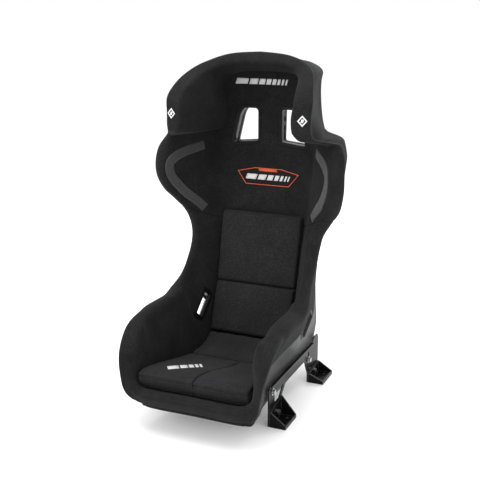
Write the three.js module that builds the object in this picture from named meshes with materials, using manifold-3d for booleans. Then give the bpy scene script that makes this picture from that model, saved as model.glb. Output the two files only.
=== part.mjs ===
// Full-containment racing bucket seat on side brackets.
// Millimetres, +Z up. The sitter faces -Y, and +X is the sitter's left.
// The plane x = 0 is the middle of the seat, and z = 0 is the underside of the feet.
import * as THREE from 'three';
import { mergeVertices } from 'three/addons/utils/BufferGeometryUtils.js';
import Module from 'manifold-3d';

const wasm = await Module();
wasm.setup();

// ---------------------------------------------------------------- driving dimensions
const FRAME_SHIFT_Y = 58.1;      // puts the origin under the middle of the whole seat's length
const GAP = 0.3;                 // clearance between neighbouring pieces
const SKIRT = 3.2;               // cover thickness where it wraps the outside of the shell
const SHELL = 4;                 // laminate thickness
const OUTER_FLARE = 1.8;         // how late the outer wall turns outwards, 1 is a straight wall
const INNER_FLARE = 1.5;         // the same for the padded wall
const BRACKET_X = 153.5;          // inner face of each side bracket
const BRACKET_T = 4;
const FOOT_T = 4;
const FOOT_REACH = 204;          // outer edge of the feet
const BOLT_R = 4;                // M8
const BOLT_CLEAR = 0.6;          // radial clearance in the brackets' holes and slots
const PIVOT = [-172, 92];        // front seat bolt, y and z
const ADJUSTER = [112, 72];      // rear seat bolt, y and z, in the middle of its slot
const SLOT_HALF = 21;            // half the travel slot's length
const COLOUR = {
  cover: 0x232325, cushion: 0x37373a, grip: 0x55565a, carbon: 0x191a1d, moulding: 0x111113,
  bracket: 0x0e0f11, steel: 0xb9bcc0, badge: 0xc4421f,
};

// Wall sections from the middle of the front lip, round the thigh, waist and shoulder.
// fold: where the padded floor turns up; crest: top of the padded rim; outer: the shell's outer fold;
// roll: rim thickness; bulge: how far the outer wall swells out at two thirds of its height;
// hub: fabric and shell points on the middle line that the section starts from.
const BODY = [
  { fold: [0, -322, 110], crest: [0, -354, 98], outer: [0, -320, 55.5], roll: 37,
    hub: [-300, 108, -296, 54] },
  { fold: [128, -322, 110], crest: [141, -354, 98], outer: [128, -320, 55.5], roll: 37,
    hub: [-292, 107, -288, 54] },
  { fold: [152, -315, 110], crest: [176, -350, 116], outer: [153, -311, 56], roll: 43, bulge: 2,
    hub: [-282, 106, -278, 54] },
  { fold: [158, -300, 110], crest: [186, -347, 168], outer: [161, -292, 58], roll: 46, bulge: 4,
    hub: [-270, 104, -266, 55] },
  { fold: [158, -282, 109], crest: [187, -336, 228], outer: [160, -268, 60], roll: 50, bulge: 4,
    hub: [-256, 102, -252, 57] },
  { fold: [155, -260, 106], crest: [188, -296, 274], outer: [156, -250, 58], roll: 52, bulge: 2,
    hub: [-240, 100, -236, 56] },
  { fold: [150, -232, 101], crest: [190, -243, 290], outer: [149, -222, 57], roll: 53,
    hub: [-220, 97, -216, 56] },
  { fold: [140, -180, 92], crest: [190, -186, 294], outer: [144, -178, 54], roll: 52 },
  { fold: [128, -120, 84], crest: [190, -132, 293], outer: [144, -120, 50], roll: 52 },
  { fold: [124, -60, 80], crest: [190, -88, 293], outer: [144, -60, 47], roll: 51 },
  { fold: [122, -5, 88], crest: [190, -52, 304], outer: [144.5, 10, 50], roll: 50, bulge: 4 },
  { fold: [121, 35, 110], crest: [188, -20, 322], outer: [144.5, 104, 61], roll: 50, bulge: 6 },
  { fold: [120, 62, 145], crest: [187, 6, 344], outer: [146, 182, 92], roll: 49, bulge: 8 },
  { fold: [120, 80, 195], crest: [187, 28, 368], outer: [151, 206, 150], roll: 48, bulge: 8 },
  { fold: [121, 99, 255], crest: [186, 47, 396], outer: [152, 198, 222], roll: 47, bulge: 6 },
  { fold: [122, 117, 320], crest: [187, 60, 428], outer: [152, 190, 300], roll: 47, bulge: 4 },
  { fold: [123, 134, 385], crest: [194, 66, 462], outer: [153, 188, 375], roll: 46, bulge: 4 },
  { fold: [125, 149, 440], crest: [214, 71, 494], outer: [155, 194, 434], roll: 46, bulge: 5 },
  { fold: [128, 158, 495], crest: [240, 55, 528], outer: [158, 202, 491], roll: 46, bulge: 8 },
  { fold: [132, 168, 545], crest: [256, 24, 562], outer: [161, 210, 545], roll: 46, bulge: 12 },
  { fold: [136, 177, 595], crest: [265, 4, 602], outer: [164, 218, 595], roll: 46, bulge: 18 },
  { fold: [138, 184, 640], crest: [266, 0, 642], outer: [165, 224, 640], roll: 45, bulge: 28 },
  { fold: [137, 188, 675], crest: [263, 14, 680], outer: [162, 229, 680], roll: 43, bulge: 36 },
  { fold: [130, 190, 727.5], crest: [247, 38, 716], outer: [158, 228, 731], roll: 38, bulge: 36 },
];
// The same from the bottom of the head wing, round its front and over the top of the head.
const HEAD = [
  { fold: [126, 188, 728], crest: [191, -48, 738], outer: [158, 226, 732], roll: 38, bulge: 28,
    hub: [190, 728, 228, 732] },
  { fold: [119, 187, 750], crest: [183, -59, 758], outer: [152, 227, 752], roll: 50, bulge: 22,
    hub: [190, 750, 234, 752] },
  { fold: [116, 186, 790], crest: [181, -60, 790], outer: [146, 228, 790], roll: 53, bulge: 10,
    hub: [190, 790, 233, 790] },
  { fold: [115, 185, 830], crest: [184, -54, 829], outer: [143, 228, 832], roll: 51, bulge: 6,
    hub: [189, 825, 232, 825] },
  { fold: [112, 183, 858], crest: [176, -22, 862], outer: [145, 222, 866], roll: 47, bulge: 8,
    hub: [188, 840, 230, 840] },
  { fold: [102, 181, 876], crest: [160, 34, 894], outer: [148, 216, 894], roll: 42, bulge: 10,
    hub: [187, 848, 229, 850] },
  { fold: [78, 179, 885], crest: [132, 71, 914], outer: [118, 213, 914], roll: 40, bulge: 8,
    hub: [186, 853, 228, 856] },
  { fold: [42, 178, 888], crest: [84, 90, 929], outer: [62, 213, 923], roll: 40, bulge: 2,
    hub: [185, 857, 227, 860] },
  { fold: [0, 178, 889], crest: [0, 101, 935], outer: [0, 214, 926], roll: 40, hub: [185, 859, 227, 863] },
];
const WAIST_SEAM = 17.35;        // position along BODY where the shoulder pad meets the side bolster
const FRONT_SEAM = 1.4;          // position along BODY where the front roll meets the side bolster
const TOP_SEAM = 4.6;            // position along HEAD where the top roll meets the wing
// Hem of the cover on the shell's outside, as a fraction of the wall's height, along BODY.
const HEM = [0.03, 0.03, 0.04, 0.14, 0.34, 0.52, 0.64, 0.68, 0.7, 0.7, 0.7, 0.66, 0.56, 0.43, 0.25, 0.1, 0.08];

// ---------------------------------------------------------------- small helpers
const vec = (p) => new THREE.Vector3(p[0], p[1], p[2]);
const lerp = (a, b, t) => a + (b - a) * t;
const mix = (a, b, t) => a.clone().lerp(b, t);
const mirrorPoint = (p) => new THREE.Vector3(-p.x, p.y, p.z);

function finish(colour, roughness, metalness = 0) {
  return new THREE.MeshStandardMaterial({ color: colour, roughness, metalness });
}

function geometryFrom(points, faces) {
  const geometry = new THREE.BufferGeometry();
  const flat = points.flatMap((p) => [p.x, p.y, p.z]);
  geometry.setAttribute('position', new THREE.Float32BufferAttribute(flat, 3));
  geometry.setIndex(faces);
  return geometry;
}

// The same faces with points only, joined where they meet.
function merged(geometry) {
  const bare = geometry.clone();
  for (const name of Object.keys(bare.attributes)) {
    if (name !== 'position') bare.deleteAttribute(name);
  }
  return mergeVertices(bare, 1e-3);
}

function solidOf(geometry) {
  const shape = merged(geometry);
  const faces = [];
  for (let i = 0; i < shape.index.count; i += 3) {
    const [a, b, c] = [0, 1, 2].map((k) => shape.index.getX(i + k));
    if (a !== b && b !== c && a !== c) faces.push(a, b, c);
  }
  const solid = new wasm.Manifold(new wasm.Mesh({
    numProp: 3,
    vertProperties: new Float32Array(shape.attributes.position.array),
    triVerts: new Uint32Array(faces),
  }));
  if (solid.volume() < 0) throw new Error('inside out');
  return solid;
}

function geometryOf(solid) {
  const mesh = solid.getMesh();
  const geometry = new THREE.BufferGeometry();
  const places = new Float32Array(mesh.vertProperties);
  geometry.setAttribute('position', new THREE.Float32BufferAttribute(places, 3));
  geometry.setIndex([...mesh.triVerts]);
  return geometry;
}

// The geometry less the tools, without the small offcuts that fall away.
function cut(geometry, ...tools) {
  const rest = tools.reduce((solid, tool) => solid.subtract(solidOf(tool)), solidOf(geometry));
  const bodies = rest.decompose();
  return geometryOf(bodies.reduce((a, b) => (b.volume() > a.volume() ? b : a)));
}

const join = (...pieces) => geometryOf(
  pieces.map(solidOf).reduce((whole, piece) => whole.add(piece)));

// Faces the right way round whichever way the points were listed.
function facingOut(geometry) {
  const p = geometry.attributes.position;
  const corner = (i) => new THREE.Vector3().fromBufferAttribute(p, i);
  let volume = 0;
  for (let i = 0; i < geometry.index.count; i += 3) {
    const [a, b, c] = [0, 1, 2].map((k) => corner(geometry.index.getX(i + k)));
    volume += a.dot(b.cross(c));
  }
  if (volume < 0) {
    const index = [...geometry.index.array];
    for (let i = 0; i < index.length; i += 3) [index[i], index[i + 1]] = [index[i + 1], index[i]];
    geometry.setIndex(index);
  }
  return geometry;
}

// A closed loft through loops with the same number of points; cap lists the end faces' polygons.
function loft(loops, cap) {
  const size = loops[0].length;
  const points = loops.flat();
  const faces = [];
  for (let r = 0; r + 1 < loops.length; r++) {
    for (let c = 0; c < size; c++) {
      const d = (c + 1) % size;
      faces.push(r * size + c, (r + 1) * size + c, (r + 1) * size + d);
      faces.push(r * size + c, (r + 1) * size + d, r * size + d);
    }
  }
  const last = (loops.length - 1) * size;
  for (const polygon of cap) {
    for (let k = 1; k + 1 < polygon.length; k++) {
      const [a, b, c] = [polygon[0], polygon[k], polygon[k + 1]];
      faces.push(a, b, c, last + a, last + c, last + b);
    }
  }
  return facingOut(geometryFrom(points, faces));
}

// A closed slab between two grids of points, face(i, j) and back(i, j).
function slab(rows, columns, face, back) {
  const points = [];
  for (const side of [face, back]) {
    for (let i = 0; i <= rows; i++) {
      for (let j = 0; j <= columns; j++) points.push(side(i / rows, j / columns));
    }
  }
  const count = (rows + 1) * (columns + 1);
  const at = (side, i, j) => side * count + i * (columns + 1) + j;
  const faces = [];
  const quad = (a, b, c, d) => faces.push(a, b, c, a, c, d);
  for (let i = 0; i < rows; i++) {
    for (let j = 0; j < columns; j++) {
      quad(at(0, i, j), at(0, i + 1, j), at(0, i + 1, j + 1), at(0, i, j + 1));
      quad(at(1, i, j), at(1, i, j + 1), at(1, i + 1, j + 1), at(1, i + 1, j));
    }
    quad(at(0, i, 0), at(1, i, 0), at(1, i + 1, 0), at(0, i + 1, 0));
    quad(at(0, i + 1, columns), at(1, i + 1, columns), at(1, i, columns), at(0, i, columns));
  }
  for (let j = 0; j < columns; j++) {
    quad(at(0, 0, j + 1), at(1, 0, j + 1), at(1, 0, j), at(0, 0, j));
    quad(at(0, rows, j), at(1, rows, j), at(1, rows, j + 1), at(0, rows, j + 1));
  }
  return facingOut(geometryFrom(points, faces));
}

function mirrored(geometry) {
  const copy = geometry.clone();
  copy.scale(-1, 1, 1);
  const index = [...copy.index.array];
  for (let i = 0; i < index.length; i += 3) [index[i], index[i + 1]] = [index[i + 1], index[i]];
  copy.setIndex(index);
  return copy;
}

// A prism whose outline lies in the plane of two unit directions and which runs along the third.
function prism(outline, depth, origin, across, up) {
  const shape = new THREE.Shape(outline.map(([a, b]) => new THREE.Vector2(a, b)));
  const geometry = new THREE.ExtrudeGeometry(shape, { depth, bevelEnabled: false });
  const x = vec(across).normalize();
  const z = new THREE.Vector3().crossVectors(x, vec(up)).normalize();
  const y = new THREE.Vector3().crossVectors(z, x);
  geometry.applyMatrix4(new THREE.Matrix4().makeBasis(x, y, z).setPosition(vec(origin)));
  return merged(geometry);
}

function box(low, high) {
  const geometry = new THREE.BoxGeometry(high[0] - low[0], high[1] - low[1], high[2] - low[2]);
  geometry.translate((low[0] + high[0]) / 2, (low[1] + high[1]) / 2, (low[2] + high[2]) / 2);
  return merged(geometry);
}

// A round bar along X from x0 to x1.
function bar(radius, x0, x1, y, z, sides = 16) {
  const geometry = new THREE.CylinderGeometry(radius, radius, x1 - x0, sides);
  geometry.rotateZ(-Math.PI / 2);
  geometry.translate((x0 + x1) / 2, y, z);
  return merged(geometry);
}

// ---------------------------------------------------------------- wall sections
// One section of the wall in space, with the directions up the wall and out of it.
function sectionAt(list, position) {
  const i = Math.min(Math.floor(position), list.length - 2);
  const t = position - i;
  const onCurve = (key) => new THREE.CatmullRomCurve3(list.map((s) => vec(s[key])), false, 'centripetal')
    .getPoint(position / (list.length - 1));
  const [fold, crest, outer] = ['fold', 'crest', 'outer'].map(onCurve);
  const hubOf = (s) => s.hub ?? [s.fold[1], s.fold[2], s.outer[1], s.outer[2]];
  const [a, b] = [hubOf(list[i]), hubOf(list[i + 1])];
  const hub = a.map((value, k) => lerp(value, b[k], t));
  const up = crest.clone().sub(fold).normalize();
  const out = outer.clone().sub(fold);
  out.addScaledVector(up, -out.dot(up)).normalize();
  const roll = lerp(list[i].roll, list[i + 1].roll, t);
  const bulge = lerp(list[i].bulge ?? 0, list[i + 1].bulge ?? 0, t);
  const hubFace = new THREE.Vector3(0, hub[0], hub[1]);
  const hubShell = new THREE.Vector3(0, hub[2], hub[3]);
  return {
    fold, crest, outer, up, out, roll, bulge, hubFace, hubShell,
    rise: hubFace.clone().sub(hubShell).normalize(),
    inner: crest.clone().addScaledVector(up, -roll / 2).addScaledVector(out, -roll / 2),
    edge: crest.clone().addScaledVector(up, -roll / 2).addScaledVector(out, roll / 2),
  };
}

// The outside of the covered wall, v from 0 at the shell's fold to 1 where the rim's roll begins.
const wallOut = (section, v) => flared(section.outer, section.edge, section.rise, v, OUTER_FLARE)
  .addScaledVector(section.out, section.bulge * 6.75 * v * v * (1 - v));
const wallIn = (section, v) => flared(section.fold, section.inner, section.rise, v, INNER_FLARE);

// From low to high: steadily along the rise, and more and more sideways.
function flared(low, high, rise, v, flare) {
  const span = high.clone().sub(low);
  const climb = rise.clone().multiplyScalar(span.dot(rise));
  return low.clone().addScaledVector(climb, v).addScaledVector(span.sub(climb), v ** flare);
}

// A point inside the wall, a depth in from its outside.
function inWall(section, v, depth) {
  const outside = wallOut(section, v);
  const inside = wallIn(section, v);
  return outside.addScaledVector(inside.sub(outside).normalize(), depth);
}

const PAD_DEPTH = SKIRT + GAP + SHELL + GAP;
const MID_LAMINATE = SKIRT + GAP + SHELL / 2;
const RIM_SPACE = 0.5;            // the space above the laminate's rim, inside the roll
const FOLD_OVERLAP = 4;          // how far a wall's foot first reaches under the panel beside it
const STEPS = [0, 0.25, 0.5, 0.75, 1];

// The padded wall's closed outline, with its back in the middle of the laminate, which is cut out of it
// later: face, rim, outside down to the hem, and back to the fold.
const ROLL_ARC = [1, 2, 3, 4, 5].map((k) => Math.PI * (1 - k / 6));

function padLoop(section, hem) {
  const middle = section.crest.clone().addScaledVector(section.up, -section.roll / 2);
  const rim = ROLL_ARC.map((angle) => middle.clone()
    .addScaledVector(section.out, Math.cos(angle) * section.roll / 2)
    .addScaledVector(section.up, Math.sin(angle) * section.roll / 2));
  const overlap = section.fold.x > 20 ? -FOLD_OVERLAP : 0;
  const foot = (p) => p.add(new THREE.Vector3(overlap, 0, 0));
  const face = STEPS.map((v) => wallIn(section, v));
  const back = STEPS.map((v) => inWall(section, v * hem, MID_LAMINATE));
  return [
    foot(face[0]), ...face.slice(1), ...rim,
    ...[1, 0.66, 0.33, 0].map((k) => wallOut(section, lerp(hem, 1, k))),
    ...back.slice(1).reverse(), foot(back[0]),
  ];
}

// The end faces of that outline.
const PAD_CAP = [
  [0, 1, 17, 18], [1, 13, 14, 17], [14, 15, 16, 17], [1, 2, 12, 13], [2, 3, 11, 12], [3, 4, 10, 11],
  [4, 5, 9, 10], [5, 6, 8, 9], [6, 7, 8],
];

function hemAt(position) {
  const i = Math.min(Math.floor(position), HEM.length - 2);
  return lerp(HEM[i], HEM[i + 1], Math.min(1, position - i));
}

// Positions from start to end with every whole section between them.
function positions(start, end) {
  const list = [start];
  for (let k = Math.floor(start) + 1; k < end - 0.01; k++) list.push(k);
  list.push(end);
  return list;
}

function wallPad(list, start, end, hem) {
  return loft(positions(start, end).map((p) => padLoop(sectionAt(list, p), hem(p))), PAD_CAP);
}

// A roll across the middle line: one half's loops, then the other half's.
function middleRoll(list, places, hem) {
  const half = places.map((p) => padLoop(sectionAt(list, p), hem(p)));
  const other = half.slice(0, -1).reverse().map((loop) => loop.map(mirrorPoint));
  return loft([...half, ...other], PAD_CAP);
}

// ---------------------------------------------------------------- shell
// One row of the laminate from the middle line to the rim, a depth in from the covered outside.
const FLOOR_STEPS = 2;
const WALL_STEPS = [0, 0.3, 0.55, 0.8, 1];

function shellRow(section, depth, rise) {
  const fold = inWall(section, 0, depth);
  const hub = section.hubShell.clone();
  const inward = section.hubFace.clone().sub(section.hubShell).normalize();
  hub.addScaledVector(inward, depth);
  const row = [];
  for (let k = 0; k < FLOOR_STEPS; k++) row.push(mix(hub, fold, k / FLOOR_STEPS));
  row.push(...WALL_STEPS.map((v) => inWall(section, v, depth)));
  if (rise > 0) row.push(row[row.length - 1].clone().addScaledVector(section.up, rise));
  return row;
}

function shellSections() {
  const body = positions(0, BODY.length - 1).map((p) => sectionAt(BODY, p));
  const head = positions(0, HEAD.length - 1).map((p) => sectionAt(HEAD, p));
  return [...body, ...head];
}

function shellHalf(from, to, rise) {
  const sections = shellSections();
  const outside = sections.map((s) => shellRow(s, from, rise));
  const inside = sections.map((s) => shellRow(s, to, rise));
  const rows = outside.length;
  const columns = outside[0].length;
  const points = [...outside.flat(), ...inside.flat()];
  const at = (side, i, j) => (side * rows + i) * columns + j;
  const faces = [];
  const quad = (a, b, c, d) => faces.push(a, b, c, a, c, d);
  // The diagonals lean away from the middle line at both ends, where a row lies in the middle plane.
  for (let i = 0; i + 1 < rows; i++) {
    for (let j = 0; j + 1 < columns; j++) {
      if (i < rows / 2) {
        quad(at(0, i, j), at(0, i, j + 1), at(0, i + 1, j + 1), at(0, i + 1, j));
        quad(at(1, i, j), at(1, i + 1, j), at(1, i + 1, j + 1), at(1, i, j + 1));
      } else {
        quad(at(0, i, j + 1), at(0, i + 1, j + 1), at(0, i + 1, j), at(0, i, j));
        quad(at(1, i + 1, j), at(1, i + 1, j + 1), at(1, i, j + 1), at(1, i, j));
      }
    }
    const edge = columns - 1;
    quad(at(0, i, edge), at(1, i, edge), at(1, i + 1, edge), at(0, i + 1, edge));
  }
  return { points, faces };
}

// The laminate between two depths in from the covered outside.
function laminate(from, to, rise) {
  const half = shellHalf(from, to, rise);
  const count = half.points.length;
  const points = [...half.points, ...half.points.map(mirrorPoint)];
  const faces = [...half.faces];
  for (let i = 0; i < half.faces.length; i += 3) {
    const [a, b, c] = half.faces.slice(i, i + 3);
    faces.push(count + a, count + c, count + b);
  }
  return facingOut(mergeVertices(geometryFrom(points, faces), 1e-3));
}

// ---------------------------------------------------------------- openings and their bezels
// Shoulder strap openings: four corners on the +X side, x and z, with a slanted outer side.
const SHOULDER_SLOT = [[34, 688], [112, 680], [92, 764], [80, 784], [40, 784], [34, 776]];
const LAP_LENGTH = 84;
const LAP_WIDTH = 26;
const LAP_CENTRE = [157, 46, 213];
const LAP_AXIS = [0.5, 0.68, -0.53];
const LAP_TILT = 40 * Math.PI / 180;
const CROTCH = { y: -128, z: 66, width: 64, length: 26 };
const BEZEL_WALL = 4;

function inset(outline, amount) {
  const middle = outline.reduce((s, p) => [s[0] + p[0], s[1] + p[1]], [0, 0])
    .map((v) => v / outline.length);
  return outline.map((p) => {
    const d = [p[0] - middle[0], p[1] - middle[1]];
    const length = Math.hypot(...d);
    const k = 1 - amount * 1.25 / length;
    return [middle[0] + d[0] * k, middle[1] + d[1] * k];
  });
}

const shoulderTool = (outline, y0, y1) => prism(
  outline, y1 - y0, [0, y1, 0], [1, 0, 0], [0, 0, 1]);

function lapOutline(shrink) {
  const a = LAP_LENGTH / 2 - shrink;
  const b = LAP_WIDTH / 2 - shrink;
  const c = Math.min(7, b - 1);
  return [[-a, -b + c], [-a + c, -b], [a - c, -b], [a, -b + c], [a, b - c], [a - c, b], [-a + c, b], [-a, b - c]];
}

// A prism through the wall at the lap opening on the +X side, between two depths out from its middle.
function lapTool(shrink, from, to) {
  const out = vec(LAP_AXIS).normalize();
  const long = new THREE.Vector3(0, Math.cos(LAP_TILT), Math.sin(LAP_TILT));
  long.addScaledVector(out, -long.dot(out)).normalize();
  const origin = vec(LAP_CENTRE).addScaledVector(out, from);
  const wide = new THREE.Vector3().crossVectors(out, long);
  return prism(lapOutline(shrink), to - from, origin.toArray(), long.toArray(), wide.toArray());
}

function crotchTool(shrink, z0, z1) {
  const a = CROTCH.width / 2 - shrink;
  const b = CROTCH.length / 2 - shrink;
  return prism([[-a, -b], [a, -b], [a, b], [-a, b]], z1 - z0, [0, CROTCH.y, z0], [1, 0, 0], [0, 1, 0]);
}

// ---------------------------------------------------------------- seat bolts and inserts
const INSERT = { radius: 11, inside: 133, outside: 144 };
const SPACER = { radius: 10.5, inside: 144.4, outside: BRACKET_X - GAP };
const WASHER = { radius: 9.5, thickness: 1.6 };
const NUT = { radius: 7, height: 5 };
const SEAT_BOLTS = { pivot: PIVOT, adjuster: ADJUSTER };

function bolt(headX, tipX, y, z, headRadius = 7.2, headHeight = 5.5) {
  const head = bar(headRadius, headX, headX + headHeight, y, z, 6);
  const shank = bar(BOLT_R, tipX, headX + 1, y, z, 12);
  return join(head, shank);
}

const ring = (outer, inner, x0, x1, y, z) => cut(
  bar(outer, x0, x1, y, z, 16), bar(inner, x0 - 1, x1 + 1, y, z, 12));

// ---------------------------------------------------------------- brackets and feet
const BRACKET_OUTLINE = [
  [-196, 1], [-196, 104], [-188, 112], [146, 112], [162, 124], [190, 124], [198, 114], [198, 1], [111, 1],
  [111, 27], [94, 56], [82, 78], [-74, 78], [-113, 44], [-114, 1],
];
const BRACKET_WINDOW = [[-156, 76], [-150, 84], [-98, 84], [-92, 78], [-120, 52], [-150, 52], [-156, 58]];
const LEDGE = { y0: -186, y1: 146, z0: 108, z1: 112, reach: 9 };

function travelSlot(centre) {
  const radius = BOLT_R + BOLT_CLEAR;
  const [py, pz] = PIVOT;
  const reach = Math.hypot(centre[0] - py, centre[1] - pz);
  const rest = Math.atan2(centre[1] - pz, centre[0] - py);
  const half = SLOT_HALF / reach;
  const outline = [];
  const end = (angle, turn) => {
    const c = [py + reach * Math.cos(angle), pz + reach * Math.sin(angle)];
    for (let k = 0; k <= 8; k++) {
      const a = angle + turn + Math.PI * k / 8;
      outline.push([c[0] + radius * Math.cos(a), c[1] + radius * Math.sin(a)]);
    }
  };
  const side = (from, to, offset) => {
    for (let k = 1; k < 4; k++) {
      const a = lerp(from, to, k / 4);
      outline.push([py + (reach + offset) * Math.cos(a), pz + (reach + offset) * Math.sin(a)]);
    }
  };
  end(rest + half, 0);
  side(rest + half, rest - half, -radius);
  end(rest - half, Math.PI);
  side(rest - half, rest + half, radius);
  return outline;
}

const yzPrism = (outline, x0, x1) => prism(outline, x1 - x0, [x0, 0, 0], [0, 1, 0], [0, 0, 1]);

const FEET = {
  front: { y0: -195, y1: -114, front: 41, rear: 59, bolt: [-143, 22], holes: [-178, -131] },
  rear: { y0: 111, y1: 198, front: 27, rear: 36, bolt: [155, 22], holes: [128, 181] },
};
const FOOT_X = BRACKET_X + BRACKET_T + GAP;
const FOOT_HOLE_R = 4.2;

function footSolid(foot) {
  const base = box([FOOT_X, foot.y0, 0], [FOOT_REACH, foot.y1, FOOT_T]);
  const lip = box([FOOT_REACH - FOOT_T, foot.y0, 0], [FOOT_REACH, foot.y1, 10]);
  const flange = yzPrism(
    [[foot.y0, 0], [foot.y1, 0], [foot.y1, foot.rear], [foot.y0, foot.front]], FOOT_X, FOOT_X + FOOT_T);
  const gusset = (y, height) => prism(
    [[FOOT_X, 0], [FOOT_REACH, 0], [FOOT_REACH, 10], [FOOT_X + 5, height], [FOOT_X, height]],
    FOOT_T, [0, y + FOOT_T, 0], [1, 0, 0], [0, 0, 1]);
  const tray = join(base, lip, flange, gusset(foot.y0, foot.front), gusset(foot.y1 - FOOT_T, foot.rear));
  const holes = foot.holes.map((y) => {
    const hole = new THREE.CylinderGeometry(FOOT_HOLE_R, FOOT_HOLE_R, 20, 16);
    hole.rotateX(Math.PI / 2);
    hole.translate((FOOT_X + FOOT_REACH) / 2 + 4, y, 0);
    return merged(hole);
  });
  const boltHole = bar(BOLT_R + BOLT_CLEAR, FOOT_X - 2, FOOT_X + 2 * FOOT_T, foot.bolt[0], foot.bolt[1], 16);
  return cut(tray, boltHole, ...holes);
}

function bracketSolid() {
  const plate = yzPrism(BRACKET_OUTLINE, BRACKET_X, BRACKET_X + BRACKET_T);
  const ledge = box([BRACKET_X + 1, LEDGE.y0, LEDGE.z0], [BRACKET_X + LEDGE.reach, LEDGE.y1, LEDGE.z1]);
  const through = (outline) => yzPrism(outline, BRACKET_X - 2, BRACKET_X + BRACKET_T + 2);
  const round = (y, z) => bar(BOLT_R + BOLT_CLEAR, BRACKET_X - 2, BRACKET_X + BRACKET_T + 2, y, z, 16);
  const feet = Object.values(FEET).map((foot) => round(foot.bolt[0], foot.bolt[1]));
  return cut(join(plate, ledge), through(BRACKET_WINDOW), through(travelSlot(ADJUSTER)),
    round(PIVOT[0], PIVOT[1]), ...feet);
}

// ---------------------------------------------------------------- cushions
// A cushion with a flat-ish back and softened edges; sides(t) gives half width, face and back points.
function cushion(rows, columns, station, x0, x1, edge) {
  const point = (isFace) => (i, j) => {
    const s = station(i);
    const x = lerp(x0(s), x1(s), j);
    const rim = Math.min(1, Math.min(i, 1 - i) * rows, Math.min(j, 1 - j) * columns);
    const soft = isFace && rim < 0.5 ? edge : 0;
    const p = isFace ? s.face : s.back;
    const q = isFace ? s.back : s.face;
    const way = new THREE.Vector2(q[0] - p[0], q[1] - p[1]).normalize();
    return new THREE.Vector3(x, p[0] + way.x * soft, p[1] + way.y * soft);
  };
  return slab(rows, columns, point(true), point(false));
}

// Side profiles, y and z: the cushion's face and its back, from front to rear or top to bottom.
const THIGH = [
  { half: 153, face: [-326, 147], back: [-324, 120] },
  { half: 152, face: [-312, 156], back: [-305, 119.5] },
  { half: 148, face: [-262, 152], back: [-262, 113] },
  { half: 139, face: [-210, 145], back: [-210, 106] },
  { half: 127, face: [-150, 135], back: [-150, 98] },
  { half: 120, face: [-96, 126], back: [-98, 91] },
];
const SEAT = [
  { half: 119.5, face: [-92, 127], back: [-94, 90] },
  { half: 118, face: [-45, 126], back: [-45, 88] },
  { half: 117, face: [-4, 135], back: [2, 98] },
  { half: 116.5, face: [24, 152], back: [32, 122] },
];
const LOWER_BACK = [
  { half: 117, face: [27, 154], back: [56, 147.5] },
  { half: 117.5, face: [44, 205], back: [76, 200] },
  { half: 118.5, face: [62, 250], back: [92, 245] },
  { half: 119, face: [81, 291], back: [105, 286] },
];
const LUMBAR = [
  { half: 119.5, face: [82, 294.5], back: [106, 289.5] },
  { half: 120, face: [96, 350], back: [121, 345] },
  { half: 121, face: [112, 420], back: [138, 415] },
  { half: 121, face: [130, 490], back: [153, 485] },
];

function along(list) {
  return (t) => {
    const place = t * (list.length - 1);
    const i = Math.min(Math.floor(place), list.length - 2);
    const k = place - i;
    const pair = (key) => [0, 1].map((c) => lerp(list[i][key][c], list[i + 1][key][c], k));
    return { half: lerp(list[i].half, list[i + 1].half, k), face: pair('face'), back: pair('back') };
  };
}

// The split between the thigh cushions: straight back from the front, then curving to the left.
const splitX = (y) => 2 + 30 * THREE.MathUtils.smoothstep(y, -260, -130);

// ---------------------------------------------------------------- assembly
const seat = new THREE.Group();
const mounts = new THREE.Group();
const model = new THREE.Group();
model.add(seat, mounts);
model.position.y = FRAME_SHIFT_Y;

function add(group, name, geometry, material) {
  const mesh = new THREE.Mesh(geometry, material);
  mesh.name = name;
  group.add(mesh);
}

// The same piece on both sides: +X is the sitter's left.
function addPair(group, name, geometry, material) {
  add(group, `${name}_left`, geometry, material);
  add(group, `${name}_right`, mirrored(geometry), material);
}

const coverFinish = finish(COLOUR.cover, 0.95);
const cushionFinish = finish(COLOUR.cushion, 0.95);
const mouldingFinish = finish(COLOUR.moulding, 0.4);
const bracketFinish = finish(COLOUR.bracket, 0.3, 0.2);
const steelFinish = finish(COLOUR.steel, 0.3, 1);

const seatBoltTools = (radius, x0, x1) => Object.values(SEAT_BOLTS)
  .map(([y, z]) => bar(radius, x0, x1, y, z, 16));
const bothSides = (tools) => tools.flatMap((tool) => [tool, mirrored(tool)]);

// Shell, with its belt openings and bolt inserts' holes.
const shoulderHole = shoulderTool(SHOULDER_SLOT, 120, 280);
const lapHole = lapTool(0, -70, 70);
const crotchHole = crotchTool(0, 0, 160);
const insertHoles = seatBoltTools(INSERT.radius + GAP, 120, 160);
const shellTools = bothSides([shoulderHole, lapHole, ...insertHoles]);
const shell = laminate(SKIRT + GAP, SKIRT + GAP + SHELL, 0);
add(seat, 'carbon_shell', cut(shell, ...shellTools, crotchHole), finish(COLOUR.carbon, 0.2));

// Floor and back panels between the walls' folds; wider makes the space that they need.
function panel(list, start, end, columns, wider) {
  const places = positions(start, end);
  const rows = places.length - 1;
  const sections = places.map((p) => sectionAt(list, p));
  const across = (hub, fold, j) => {
    const t = Math.abs(2 * j - 1);
    const p = mix(hub, fold, t);
    p.x = (p.x + wider * t) * Math.sign(2 * j - 1);
    return p;
  };
  const face = (i, j) => {
    const s = sections[Math.round(i * rows)];
    const inward = s.hubFace.clone().sub(s.hubShell).normalize();
    return across(s.hubFace, s.fold, j).addScaledVector(inward, wider > 0 ? 5 : 0);
  };
  const back = (i, j) => {
    const s = sections[Math.round(i * rows)];
    const inward = s.hubFace.clone().sub(s.hubShell).normalize();
    const hub = s.hubShell.clone().addScaledVector(inward, MID_LAMINATE);
    return across(hub, inWall(s, 0, MID_LAMINATE), j);
  };
  return slab(rows, columns, face, back);
}
const seamGap = 0.006;
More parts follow.
